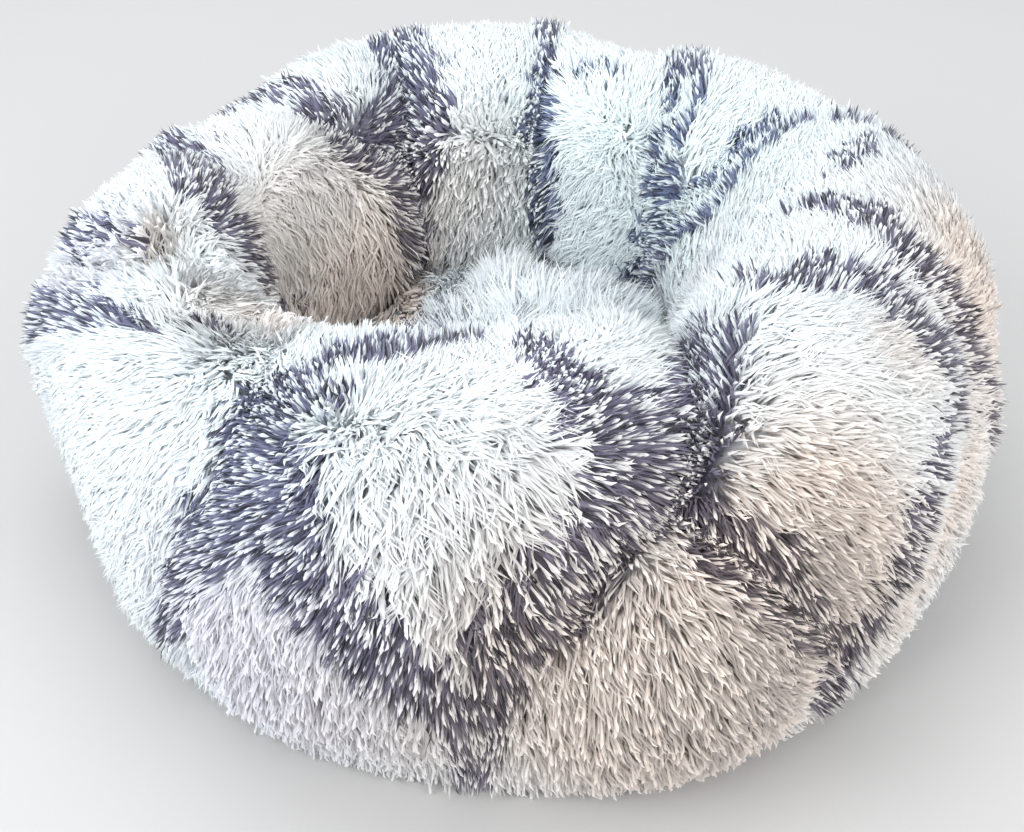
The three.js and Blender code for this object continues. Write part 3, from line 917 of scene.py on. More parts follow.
def mesh_object(name: str, points: Array, faces: Array, smooth_faces: bool = True) -> Piece:
    """A mesh object at the origin from arrays of points and of faces of equal size.

    Args:
        name: The object's name.
        points: One row a point.
        faces: One row of point numbers a face.
        smooth_faces: Whether faces are shaded smoothly.

    Returns:
        The linked object.
    """
    mesh = bpy.data.meshes.new(name)
    count, corners = faces.shape
    mesh.vertices.add(len(points))
    mesh.vertices.foreach_set("co", np.ascontiguousarray(points, np.float32).ravel())
    mesh.loops.add(count * corners)
    mesh.loops.foreach_set("vertex_index", np.ascontiguousarray(faces, np.int32).ravel())
    mesh.polygons.add(count)
    starts = np.arange(0, count * corners, corners, dtype=np.int32)
    mesh.polygons.foreach_set("loop_start", starts)
    mesh.polygons.foreach_set("loop_total", np.full(count, corners, np.int32))
    mesh.polygons.foreach_set("use_smooth", np.full(count, smooth_faces))
    mesh.update(calc_edges=True)
    made = bpy.data.objects.new(name, mesh)
    bpy.context.scene.collection.objects.link(made)
    return made


def dress(made: Piece, finish: Material) -> None:
    """Give a piece its finish, and ride it on the part's one body.

    Args:
        made: The piece.
        finish: Its material.
    """
    made.data.materials.append(finish)
    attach(made, "root")


def paint(made: Piece, colours: Array) -> None:
    """Write one colour a point to the attribute that the pile finishes read.

    Args:
        made: The piece.
        colours: One row of red, green and blue a point.
    """
    attribute = made.data.color_attributes.new(PILE_COLOUR, "FLOAT_COLOR", "POINT")
    rgba = np.concatenate([colours, np.ones((len(colours), 1))], axis=1)
    attribute.data.foreach_set("color", np.ascontiguousarray(rgba, np.float32).ravel())


def spindles(name: str, ends: tuple[Array, Array, Array], outward: Array, wide: Array,
             spin: Array, softness: float) -> Piece:
    """Closed strands: a root point, a ring of three points part of the way up, and a tip.

    The ring's points stand half the width from the strand's middle, a third of a turn apart.
    Light spreads from fibre to fibre in real plush, so that a strand is shaded much like the
    skin it stands on. The normals are drawn towards the skin's outward direction for that.

    Args:
        name: The object's name.
        ends: Root, middle and tip of each strand.
        outward: The skin's outward direction at each root.
        wide: Width of each strand at its middle.
        spin: Turn of each ring about its strand, in radians.
        softness: Share of the outward direction in the normals.

    Returns:
        The object, with five points and six triangles a strand.
    """
    root, middle, tip = ends
    axis = unit(tip - root)
    across = unit(np.cross(axis, outward + 0.01))
    over = np.cross(axis, across)
    angles = [(spin + k * 2 * np.pi / 3)[:, None] for k in range(3)]
    sides = [across * np.cos(angle) + over * np.sin(angle) for angle in angles]
    ring = [middle + side * (wide / 2)[:, None] for side in sides]
    points = np.stack([root, *ring, tip], axis=1)
    normals = np.stack([outward, *sides, unit(axis + outward)], axis=1)
    normals = unit(mix(normals, outward[:, None], softness))
    pattern = np.array([[0, 2, 1], [0, 3, 2], [0, 1, 3], [1, 2, 4], [2, 3, 4], [3, 1, 4]])
    faces = (np.arange(len(root)) * 5)[:, None, None] + pattern[None]
    made = mesh_object(name, points.reshape(-1, 3), faces.reshape(-1, 3))
    attribute = made.data.attributes.new("custom_normal", "FLOAT_VECTOR", "POINT")
    attribute.data.foreach_set("vector", np.ascontiguousarray(normals, np.float32).ravel())
    return made


def columns_and_next(wide: int, closed: bool) -> tuple[Array, Array]:
    """Numbers of a grid's columns, and of the column after each, with one fewer if it is open."""
    columns = np.arange(wide if closed else wide - 1)
    return columns, (columns + 1) % wide


def grid_faces(wide: int, tall: int, closed: bool) -> Array:
    """Quads of a grid of points stored column by column.

    Args:
        wide: Number of columns.
        tall: Points in a column.
        closed: Whether the last column joins the first.

    Returns:
        One row of four point numbers a face.
    """
    columns, following = columns_and_next(wide, closed)
    c, r = np.meshgrid(columns, np.arange(tall - 1), indexing="ij")
    n, _ = np.meshgrid(following, np.arange(tall - 1), indexing="ij")
    corners = [c * tall + r, n * tall + r, n * tall + r + 1, c * tall + r + 1]
    return np.stack(corners, axis=-1).reshape(-1, 4)


def shell_faces(wide: int, tall: int, closed: bool) -> Array:
    """Quads of a thick skin: an outer grid, an inner grid and the rims that join them.

    Args:
        wide: Number of columns of a grid.
        tall: Points in a column.
        closed: Whether the last column joins the first.

    Returns:
        One row of four point numbers a face; the inner grid's points come after the outer's.
    """
    inner = wide * tall
    quads = grid_faces(wide, tall, closed)
    parts = [quads, quads[:, ::-1] + inner]
    c, n = columns_and_next(wide, closed)
    for row, turned in ((0, False), (tall - 1, True)):
        a, b = c * tall + row, n * tall + row
        rim = np.stack([b, a, a + inner, b + inner], axis=-1)
        parts.append(rim[:, ::-1] if turned else rim)
    if not closed:
        rows = np.arange(tall - 1)
        for column, turned in ((0, False), (wide - 1, True)):
            a, b = column * tall + rows, column * tall + rows + 1
            rim = np.stack([a, b, b + inner, a + inner], axis=-1)
            parts.append(rim[:, ::-1] if turned else rim)
    return np.concatenate(parts)


def capped_faces(wide: int, tall: int) -> Array:
    """Triangles of a closed grid whose first and last rows are each fanned to a point.

    Args:
        wide: Number of columns.
        tall: Points in a column.

    Returns:
        One row of three point numbers a face. The point for the first row comes right after the
        grid's points, and then the one for the last row.
    """
    quads = grid_faces(wide, tall, closed=True)
    c, n = columns_and_next(wide, closed=True)
    first, last = np.full(wide, wide * tall), np.full(wide, wide * tall + 1)
    foot = np.stack([n * tall, c * tall, first], axis=-1)
    top = np.stack([c * tall + tall - 1, n * tall + tall - 1, last], axis=-1)
    return np.concatenate([quads[:, [0, 1, 2]], quads[:, [0, 2, 3]], foot, top])


@dataclass(frozen=True)
class Roots:
    """Where strands stand: places on the skin, their tufts' places, and a key of 0 to 1 a tuft."""

    turn: Array
    roll: Array
    tuft_turn: Array
    tuft_roll: Array
    tuft_key: Array

    def only(self, chosen: Array) -> "Roots":
        """The chosen ones of the roots."""
        return Roots(*(getattr(self, part.name)[chosen] for part in fields(self)))

    def draw(self, factor: float) -> Array:
        """Another number of 0 to 1 for each tuft: the fraction of its key times a factor."""
        return self.tuft_key * factor % 1.0

    def joined(self, other: "Roots") -> "Roots":
        """These roots and then the others."""
        return Roots(*(np.concatenate([getattr(self, part.name), getattr(other, part.name)])
                       for part in fields(self)))


def cell_draws(column: Array, row: Array, band: Array) -> tuple[Array, Array]:
    """Two numbers of 0 to 1 for a cell of the tufts' lattice, the same at each call.

    The cell's three numbers are mixed into one, and the fraction of a large multiple of its sine
    is taken, with two sets of constants.

    Args:
        column: Number of the cell round the bed.
        row: Number of the cell round the section.
        band: Number of the band of roll.

    Returns:
        The two numbers for each cell.
    """
    mixed = column * 12.9898 + row * 78.233 + band * 37.719
    return (np.sin(mixed) * 43758.5453) % 1.0, (np.sin(mixed * 1.37 + 4.1) * 24634.6345) % 1.0


def map_strands(made: Piece, count: int) -> None:
    """Give each strand a cell of its own in the square map, its three sides side by side.

    Each side is two triangles, root to ring and ring to tip, a third of the cell wide.

    Args:
        made: The strands' object.
        count: Number of strands.
    """
    side = math.ceil(math.sqrt(count))
    cell = np.arange(count)
    margin, span = 0.08, 0.84
    root_u, ring_u = np.array([0.5, 1, 0]), np.array([0, 1, 0.5])
    u = np.concatenate([root_u + np.arange(3)[:, None], ring_u + np.arange(3)[:, None]]) / 3
    v = np.array([[0, 0.5, 0.5]] * 3 + [[0.5, 0.5, 1]] * 3)
    u = (margin + span * u)[None] / side + ((cell % side) / side)[:, None, None]
    v = (margin + span * v)[None] / side + ((cell // side) / side)[:, None, None]
    layer = made.data.uv_layers.new(name="OFBake")
    uv = np.stack([u, v], axis=-1)
    layer.data.foreach_set("uv", np.ascontiguousarray(uv, np.float32).ravel())


def strand_rows(foot: Array, middle: Array, end: Array) -> Array:
    """One row a point: the root's, three times the ring's and the tip's, held to 0 to 1."""
    rows = np.stack([foot, middle, middle, middle, end], axis=1).reshape(-1, 3)
    return np.clip(rows, 0.0, 1.0)


@dataclass(frozen=True)
class Dye:
    """How the colours of single strands differ; a span is the range of a random draw."""

    salt: float = 0.05
    tuft_level: float = 0.08
    strand_level: float = 0.035
    # painted shade: how far the shade patches darken tips, and feet
    tip_shade: float = 0.45
    foot_shade: float = 0.9
    own_chance: Span = (0.06, 0.94)
    own_weight: float = 0.55
    tuft_weight: float = 0.45
    black_depth: Span = (0.08, 0.38)
    usual_depth: Span = (0.85, 1.22)
    foot_from: float = 0.35
    foot_over: float = 0.5
    undyed_foot: float = 0.6
    pale_middle: float = 0.85
    middle_share: float = 0.7


@dataclass(frozen=True)
class Pile:
    """Long plush pile: thousands of closed, pointed strands in tufts.

    Angles are in degrees, and a span is the range of a random draw.
    """

    form: RingForm
    coat: Coat
    colours: FurColours = field(default_factory=FurColours)
    dye: Dye = field(default_factory=Dye)
    # spacing
    pitch: float = 0.00156
    tuft_pitch: float = 0.0048
    band_height: float = 0.022
    least_roots: int = 8
    least_tufts: int = 6
    parted: float = 0.20
    # form of a strand
    length: float = 0.024
    width: float = 0.0020
    root_inset: float = 0.012
    root_lean: float = 38.0
    tip_lean: float = 70.0
    upright_share: float = 0.5
    dyed_rise: float = 0.80
    dyed_trim: float = 0.15
    softness: float = 0.6
    bend: Span = (0.42, 0.60)
    black_bend: Span = (0.74, 0.88)
    white_bend: Span = (0.84, 0.93)
    # how strands differ
    tuft_spread: float = 36.0
    matted_spread: float = 2.2
    curl_spread: float = 66.0
    strand_spread: float = 12.0
    loose_spread: float = 65.0
    tuft_tilt: float = 16.0
    strand_tilt: float = 7.0
    tilt_at_root: float = 0.6
    tuft_stretch: float = 0.16
    strand_stretch: float = 0.09
    stretch_limits: Span = (0.65, 1.35)
    width_factor: Span = (0.65, 1.35)
    parted_width: float = 0.45
    matted_width: float = 0.5
    black_width: float = 0.7
    white_width: float = 0.85
    # strands of a tuft
    gather: float = 0.62
    dyed_loosening: float = 0.6
    matted_gather: float = 0.86
    pull: Span = (0.4, 1.0)
    tuft_lower: float = 0.50
    tuft_upper: float = 0.55
    tuft_reach: float = 0.02
    # where strands may stand
    crown: float = 0.247
    crown_share: float = 0.6
    lowest: float = 0.0012
    # ends of another colour
    white_ends: float = 0.18
    black_ends: float = 0.22
    dyed_from: float = 0.15
    shown_share: float = 0.6

    def roots(self, low: float, high: float, thin: float, rng: Draws) -> Roots:
        """Jittered rows of roots between two rolls, all round, and the tuft each belongs to.

        Rows lie a pitch apart, and each has as many roots as its length holds. Tufts are the
        cells of a jittered lattice: each root joins the nearest of the nine lattice points
        around it, in bands of roll in which the radius counts as constant. The key of a tuft is
        mixed from its own two jitters.

        Args:
            low: Lowest roll.
            high: Highest roll.
            thin: Factor on the pitch, over 1 for thinner pile.
            rng: Random numbers.

        Returns:
            The roots.
        """
        form = self.form
        pitch = self.pitch * thin
        row_count = max(1, round(math.radians(high - low) * form.half_width / pitch))
        row_roll = low + (np.arange(row_count) + 0.5) * (high - low) / row_count
        around = 2 * np.pi * form.local_radius(row_roll)
        per_row = np.maximum(self.least_roots, np.round(around / pitch)).astype(int)
        row = np.repeat(np.arange(row_count), per_row)
        within = np.arange(per_row.sum()) - np.repeat(np.cumsum(per_row) - per_row, per_row)
        turn = (within + rng.uniform(0.0, 1.0, row.size)) / per_row[row] * FULL_TURN
        roll = row_roll[row] + rng.uniform(-0.5, 0.5, row.size) * (high - low) / row_count

        height = np.radians(roll + 90.0) * form.half_width
        band = np.floor(height / self.band_height)
        band_roll = np.degrees((band + 0.5) * self.band_height / form.half_width) - 90.0
        around = 2 * np.pi * form.local_radius(band_roll)
        cells = np.maximum(self.least_tufts, np.round(around / self.tuft_pitch))
        u, w = turn / FULL_TURN * cells, height / self.tuft_pitch
        best = np.full(turn.shape, np.inf)
        tuft_u, tuft_w, key = u.copy(), w.copy(), np.zeros(turn.shape)
        for du in (-1, 0, 1):
            for dw in (-1, 0, 1):
                cell_u, cell_w = np.floor(u) + du, np.floor(w) + dw
                jitter_u, jitter_w = cell_draws(cell_u % cells, cell_w, band)
                at_u, at_w = cell_u + jitter_u, cell_w + jitter_w
                distance = (at_u - u) ** 2 + (at_w - w) ** 2
                nearer = distance < best
                best = np.where(nearer, distance, best)
                tuft_u, tuft_w = np.where(nearer, at_u, tuft_u), np.where(nearer, at_w, tuft_w)
                key = np.where(nearer, (jitter_u * 7.0 + jitter_w * 13.0) % 1.0, key)
        tuft_roll = np.degrees(tuft_w * self.tuft_pitch / form.half_width) - 90.0
        return Roots(turn, roll, tuft_u / cells * FULL_TURN, tuft_roll, key)

    def filled_roots(self, low: float, high: float, thin: float, rng: Draws) -> Roots:
        """The roots between two rolls, with as many again where the pile parts or is matted.

        Args:
            low: Lowest roll.
            high: Highest roll.
            thin: Factor on the pitch.
            rng: Random numbers.

        Returns:
            The roots of both sets together.
        """
        first, second = self.roots(low, high, thin, rng), self.roots(low, high, thin, rng)
        _, _, flat = self.coat.lay(second.tuft_turn, second.tuft_roll)
        matted = self.coat.patches(second.turn, second.roll)[3]
        return first.joined(second.only(np.maximum(1.0 - smooth(flat), 0.5 * matted) > self.parted))

    def held(self, points: Array) -> Array:
        """Points with those over the crown lowered by a share of the excess, none in the floor."""
        z = np.minimum(points[:, 2], mix(points[:, 2], self.crown, self.crown_share))
        return np.concatenate([points[:, :2], np.maximum(z, self.lowest)[:, None]], axis=1)

    def strands(self, name: str, roots: Roots, rng: Draws) -> Piece:
        """One mesh of strands standing on roots.

        Each strand is a spindle: a root point, a ring of three points part of the way up and a
        tip. It leaves the skin at root_lean from the skin's outward direction and bends over to
        tip_lean, along the lay of the pile, but stands up where the pile parts and where it is
        dyed. Its tip is drawn towards the tip of its tuft, and its ring by the square of its
        share of the length as far. Some strands bend late and have an end of another colour:
        black ones where the pile is dyed, and white ones where it is dyed or has painted shade.

        Args:
            name: The object's name.
            roots: Where the strands stand.
            rng: Random numbers.

        Returns:
            The object, painted and with its own map.
        """
        n = roots.turn.size
        root, e_turn, e_roll, outward = self.form.frames(roots.turn, roots.roll, self.root_inset)
        tuft, t_turn, t_roll, t_out = self.form.frames(roots.tuft_turn, roots.tuft_roll,
                                                       self.root_inset)
        along, up, flat = self.coat.lay(roots.tuft_turn, roots.tuft_roll)
        loose = 1.0 - smooth(flat)
        _, shade, longer, matted, _, _ = self.coat.patches(roots.turn, roots.roll)
        dyed = self.coat.darkness(roots.turn, roots.roll)
        flat = mix(self.upright_share, 1.0, 1.0 - loose) * (1.0 - self.dyed_rise * dyed)
        kind = rng.uniform(0.0, 1.0, n)
        white_end, black_end = kind < self.white_ends, kind > 1.0 - self.black_ends
        # white ends come late where the pile is dyed and where it has painted shade
        late_white = white_end & (np.maximum(dyed, shade) > self.dyed_from)
        late_black = black_end & (dyed > self.dyed_from)

        # how far each strand and its tuft are turned from the lay, tilted and stretched
        swirl = (roots.tuft_key - 0.5) * (math.radians(self.tuft_spread)
                                          * (1.0 + self.matted_spread * matted))
        curl = (roots.draw(9.7) - 0.5) * math.radians(self.curl_spread) * (1.0 + matted)
        spread = np.radians(self.strand_spread + self.loose_spread * loose)
        own = swirl + rng.normal(0.0, 1.0, n) * spread
        tilt = np.radians((roots.draw(7.3) - 0.5) * self.tuft_tilt
                          + rng.normal(0.0, self.strand_tilt, n))
        stretch = (1.0 + self.tuft_stretch * (roots.draw(3.7) - 0.5)
                   + rng.normal(0.0, self.strand_stretch, n))
        length = self.length * np.clip(stretch, *self.stretch_limits)
        length = (length * (1.0 + longer) * (1.0 - self.dyed_trim * dyed))[:, None]

        def heading(angle: Array, a: Array, b: Array) -> Array:
            """The lay turned by an angle, in the skin's own directions a and b."""
            c, s = np.cos(angle), np.sin(angle)
            return (along * c - up * s)[:, None] * a + (along * s + up * c)[:, None] * b

        def leaning(side: Array, out: Array, angle: Array) -> Array:
            """A direction at an angle from outward, towards a side."""
            return out * np.cos(angle)[:, None] + side * np.sin(angle)[:, None]

        first, last = np.radians(self.root_lean) * flat, np.radians(self.tip_lean) * flat
        start = leaning(heading(own, e_turn, e_roll), outward, first + tilt * self.tilt_at_root)
        end = leaning(heading(own + curl, e_turn, e_roll), outward, last + tilt)
        bend = np.where(late_black, rng.uniform(*self.black_bend, n), rng.uniform(*self.bend, n))
        bend = np.where(late_white, rng.uniform(*self.white_bend, n), bend)[:, None]
        middle = root + start * length * bend
        tip = middle + end * length * (1.0 - bend)

        lower = leaning(heading(swirl, t_turn, t_roll), t_out, first)
        upper = leaning(heading(swirl + curl, t_turn, t_roll), t_out, last)
        tuft_tip = tuft + self.length * (self.tuft_lower * lower + self.tuft_upper * upper)
        gather = mix(self.gather * (1.0 - self.dyed_loosening * dyed), self.matted_gather, matted)
        pull = gather[:, None] * rng.uniform(*self.pull, n)[:, None]
        away = tuft_tip - tip
        near = np.linalg.norm(away, axis=1, keepdims=True) < self.tuft_reach
        shift = away * np.where(near, pull, 0.0)
        tip, middle = self.held(tip + shift), self.held(middle + shift * bend**2)

        wide = self.width * rng.uniform(*self.width_factor, n)
        wide = wide * (1.0 + self.parted_width * loose + self.matted_width * matted)
        wide = wide * np.where(late_black, self.black_width,
                               np.where(late_white, self.white_width, 1.0))
        spin = rng.uniform(0.0, 2 * np.pi, n)
        made = spindles(name, (root, middle, tip), outward, wide, spin, self.softness)
        shown = self.form.place(mix(middle, tip, self.shown_share))
        paint(made, self.strand_colours(roots, shown, (white_end, black_end), rng))
        map_strands(made, n)
        return made

    def strand_colours(self, roots: Roots, shown: tuple[Array, Array],
                       ends: tuple[Array, Array], rng: Draws) -> Array:
        """Colours of each strand from its root to its tip.

        The dye and the tints of painted light and shade are looked up where the strand's outer half
        shows, not at its root. Near a streak's border a dyed strand keeps an undyed root, so that
        short dark ends stand on the white; inside the streak some strands end in white and some
        nearly in black. Painted shade darkens feet and tips, but leaves white ends as they are.

        Args:
            roots: Where the strands stand.
            shown: Turn and roll at which each strand is seen.
            ends: Which strands end in white, and which in black, where they are dyed.
            rng: Random numbers.

        Returns:
            Five rows of red, green and blue a strand, one for each of its points.
        """
        n, dye = roots.turn.size, self.dye
        white_end, black_end = ends
        dark = self.coat.darkness(*shown)
        # patches of painted light and shade: warm bounce light, shade, bluish light and lavender
        # shade
        cream, shade, _, _, cool, lilac = self.coat.patches(*shown)
        level = 1.0 + dye.tuft_level * (roots.tuft_key - 0.5) + rng.normal(0.0, dye.strand_level, n)
        tip, foot = self.colours.shades(False, cream, cool, lilac)
        # painted shade darkens tips and, the more, feet; white ends keep their full colour over it
        tip = tip * (level * np.where(white_end, 1.0, 1.0 - dye.tip_shade * shade))[:, None]
        foot = foot * (level * (1.0 - dye.foot_shade * shade))[:, None]
        chance = rng.uniform(*dye.own_chance, n) * dye.own_weight
        chance = chance + roots.draw(5.1) * dye.tuft_weight
        dyed = ((dark > chance) & (rng.uniform(0.0, 1.0, n) > dye.salt))[:, None]
        depth = np.where(black_end, rng.uniform(*dye.black_depth, n),
                         rng.uniform(*dye.usual_depth, n))[:, None]
        # dyed colours in painted warm bounce light and painted bluish light
        dyed_tip, dyed_foot = self.colours.shades(True, cream, cool, lilac)
        inside = smooth((dark - dye.foot_from) / dye.foot_over)[:, None]
        white_end = white_end[:, None]
        dyed_middle = np.where(white_end, mix(dyed_tip, tip, dye.pale_middle), dyed_tip * depth)
        middle = np.where(dyed, dyed_middle, mix(foot, tip, dye.middle_share))
        end = np.where(dyed, np.where(white_end, tip, dyed_tip * depth), tip)
        foot = mix(foot, dyed_foot, np.where(dyed, inside, dye.undyed_foot * inside))
        return strand_rows(foot, middle, end)


class Side(Enum):
    """The two sewn panels of the ring cover."""

    RIGHT = "right"
    LEFT = "left"


def seam_turn(line: Line, roll: Array) -> Array:
    """Turn of a seam at a roll, straight between its points."""
    turns, rolls = np.array(line, float).T
    return np.interp(roll, rolls, turns)


@dataclass(frozen=True)
class Band:
    """A band of the ring's pile between two rolls, thinner where thin is over 1."""

    name: str
    low: float
    high: float
    thin: float = 1.0


@dataclass(frozen=True)
class RingCover:
    """The fur fabric of the ring: two backed panels, and the pile on them in bands of roll."""

    form: RingForm
    coat: Coat
    pile: Pile
    backing_inset: float = 0.0085
    backing_thickness: float = 0.0018
    seam_gap: float = 0.0006
    least_radius: float = 0.05
    columns: int = 150
    rows: int = 90
    # the backing: a little darker than the roots, then lifted towards the tips' colour, painted light
    # where it shows between strands
    ground_level: float = 0.97
    ground_tip_share: float = 0.6
    bands: tuple[Band, ...] = (
        Band("foot", -55.0, 0.0, 1.15), Band("flank", 0.0, 42.0), Band("shoulder", 42.0, 88.0),
        Band("crest", 88.0, 135.0), Band("nest", 135.0, 205.0))

    def build_backing(self, side: Side, finish: Material) -> Piece:
        """One panel of backing cloth, a thick skin from seam to seam.

        The grid runs from one seam's turn to the other's in even steps, and from the outer foot
        to the nest's foot. The second layer lies backing_thickness further in. The cloth is dyed
        through, and elsewhere it has the roots' colour with their painted warm bounce light, lifted
        most of the way to the tips' colour: painted light where it shows between the strands.

        Args:
            side: Which panel.
            finish: Its material.

        Returns:
            The panel.
        """
        form = self.form
        roll = form.rolls(self.rows)
        front, back = seam_turn(FRONT_SEAM, roll), seam_turn(BACK_SEAM, roll)
        start, end = (front, back + FULL_TURN) if side is Side.RIGHT else (back, front)
        radius = np.maximum(form.local_radius(roll), self.least_radius)
        gap = np.degrees(self.seam_gap / radius) / 2
        share = np.linspace(0.0, 1.0, self.columns)[:, None]
        turn = mix((start + gap)[None], (end - gap)[None], share)
        rolls = np.broadcast_to(roll, turn.shape)
        insets = (self.backing_inset, self.backing_inset + self.backing_thickness)
        layers = [form.points(turn, rolls, inset).reshape(-1, 3) for inset in insets]
        made = mesh_object(f"ring_backing_{side.value}", np.concatenate(layers),
                           shell_faces(self.columns, self.rows, closed=False))
        dark = self.coat.darkness(turn % FULL_TURN, rolls).reshape(-1, 1)
        cream = self.coat.patches(turn % FULL_TURN, rolls)[0].reshape(-1, 1)
        colours = self.pile.colours
        # the roots' colour in painted warm bounce light, then lifted towards the tips' colour:
        # painted light where the backing shows between strands
        ground = mix(np.array(colours.white_root), np.array(colours.cream_root), cream)
        ground = mix(ground * self.ground_level, np.array(colours.white_tip), self.ground_tip_share)
        ground = mix(ground, np.array(colours.dark_root), dark)
        paint(made, np.tile(ground, (2, 1)))
        dress(made, finish)
        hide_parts(f"ring_cover_{side.value}")
        return made

    def build_pile(self, finish: Material) -> list[Piece]:
        """The pile of both panels, one piece a band and a panel.

        Args:
            finish: Its material.

        Returns:
            The pieces, from the outer foot to the nest.
        """
        pieces = []
        for number, band in enumerate(self.bands):
            rng = np.random.default_rng(Seed.RING_PILE + number)
            roots = self.pile.filled_roots(band.low, band.high, band.thin, rng)
            front, back = seam_turn(FRONT_SEAM, roots.roll), seam_turn(BACK_SEAM, roots.roll)
            is_left = (roots.turn >= back) & (roots.turn < front)
            for side in Side:
                part = roots.only(is_left if side is Side.LEFT else ~is_left)
                made = self.pile.strands(f"ring_pile_{band.name}_{side.value}", part, rng)
                dress(made, finish)
                pieces.append(made)
        return pieces


def even_turns(count: int) -> Array:
    """Even turns all round, in degrees."""
    return np.arange(count) * FULL_TURN / count


@dataclass(frozen=True)
class NestCushion:
    """The domed cushion in the nest: its form, its backing and the fibre inside."""

    form: RingForm
    height: float = 0.152
    crown_fullness: float = 0.85
    dip_depth: float = 0.032
    dip_offset: float = 0.078
    dip_radius: float = 0.052
    sunk_by: float = 0.007
    far_over: float = 0.05
    far_middle: float = -0.012
    far_least: float = 0.45
    backing_inset: float = 0.0085
    backing_thickness: float = 0.0018
    fibre_gap: float = 0.001
    lump: float = 0.02
    lump_share: float = 0.012
    lump_height: float = 0.001
    columns: int = 120
    crown_rows: int = 40
    flank_rows: int = 10
    middle_share: float = 0.01
    ground_level: float = 0.9

    def surface(self, turn: Array, share: Array, sunk: float) -> Array:
        """Points of the dome.

        Share runs from 1 at the rim, on the ring's flank at roll 180, to 0 at the middle. The
        rim is drawn to its mean radius towards the middle, and the height over the rim is the
        cosine of share times a quarter turn, to the power of crown_fullness. On its left side
        the dome falls away by the dip's depth times exp(-(distance / radius) squared), and
        towards its far side by sunk_by.

        Args:
            turn: Turns of the places.
            share: Shares of the rim's radius.
            sunk: How far the layer lies under the mean height of the pile.

        Returns:
            Points, with x, y and z on the last axis.
        """
        rim = self.form.points(turn, np.full(turn.shape, 180.0), 0.0)
        rim_radius = np.hypot(rim[..., 0], rim[..., 1]) - sunk
        whole_rim = self.form.points(np.arange(0.0, FULL_TURN, 5.0), 180.0, 0.0)
        mean = np.hypot(whole_rim[:, 0], whole_rim[:, 1]).mean() - sunk
        radius = mix(mean, rim_radius, share * share) * share
        top = self.height - sunk
        x, y = radius * np.cos(np.radians(turn)), radius * np.sin(np.radians(turn))
        from_dip = np.hypot(x + self.dip_offset, y) / self.dip_radius
        dip = self.dip_depth * np.exp(-(from_dip**2)) * (1.0 - share**4)
        dip = dip + self.sunk_by * self.far_share(x, y) * (1.0 - share**4)
        rise = np.cos(share * np.pi / 2) ** self.crown_fullness
        return np.stack([x, y, rim[..., 2] + (top - rim[..., 2]) * rise - dip], axis=-1)

    def far_share(self, x: Array, y: Array) -> Array:
        """Share of 0 to 1 of the lower far part: smooth steps along y and out to both sides."""
        aside = np.abs(x - self.far_middle) / self.far_over + self.far_least
        return smooth(y / self.far_over) * smooth(aside)

    def skin(self, sunk: float) -> Array:
        """Columns of points from the foot, up the ring's flank and over the dome to its middle.

        Args:
            sunk: How far the layer lies under the mean height of the pile.

        Returns:
            Points, with the columns on the first axis.
        """
        turn = even_turns(self.columns)
        roll = np.linspace(180.0 + self.form.inner_foot - 1.0, 182.0, self.flank_rows)
        flank = self.form.points(*np.meshgrid(turn, roll, indexing="ij"), 0.0)
        flank[..., :2] -= unit(flank[..., :2]) * sunk
        share = np.linspace(1.0, self.middle_share, self.crown_rows)
        dome = self.surface(*np.meshgrid(turn, share, indexing="ij"), sunk)
        return np.concatenate([flank, dome], axis=1)

    def build_backing(self, colour: Colour, finish: Material) -> Piece:
        """The cushion's backing cloth: a thick domed skin.

        Rims join its two layers at the foot and round a pinhole at the middle.

        Args:
            colour: Colour of the pile's roots; the cloth is a little darker.
            finish: Its material.

        Returns:
            The backing.
        """
        insets = (self.backing_inset, self.backing_inset + self.backing_thickness)
        layers = [self.skin(inset) for inset in insets]
        points = np.concatenate([layer.reshape(-1, 3) for layer in layers])
        faces = shell_faces(self.columns, layers[0].shape[1], closed=True)
        made = mesh_object("cushion_backing", points, faces)
        paint(made, np.tile(np.array(colour) * self.ground_level, (len(points), 1)))
        dress(made, finish)
        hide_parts("nest_cushion_cover")
        return made

    def build_filling(self, finish: Material) -> Piece:
        """The fibre under the dome: the skin's formula further in, less a noise for the lumps.

        Args:
            finish: Its material.

        Returns:
            The closed body, flat on the base cloth.
        """
        skin = self.skin(self.backing_inset + self.backing_thickness + self.fibre_gap)
        x, y, z = np.moveaxis(skin / self.lump, -1, 0)
        lumps = 1 + value_noise(x + 9, y + z, Seed.CUSHION_LUMPS)
        skin[..., :2] *= (1.0 - self.lump_share * lumps)[..., None]
        skin[..., 2] = np.maximum(skin[..., 2] - self.lump_height * lumps, FIBRE_FLOOR)
        poles = [[0.0, 0.0, FIBRE_FLOOR], [0.0, 0.0, skin[..., 2].max()]]
        made = mesh_object("cushion_fibre", np.concatenate([skin.reshape(-1, 3), poles]),
                           capped_faces(self.columns, skin.shape[1]))
        dress(made, finish)
        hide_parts("nest_cushion_filling")
        return made


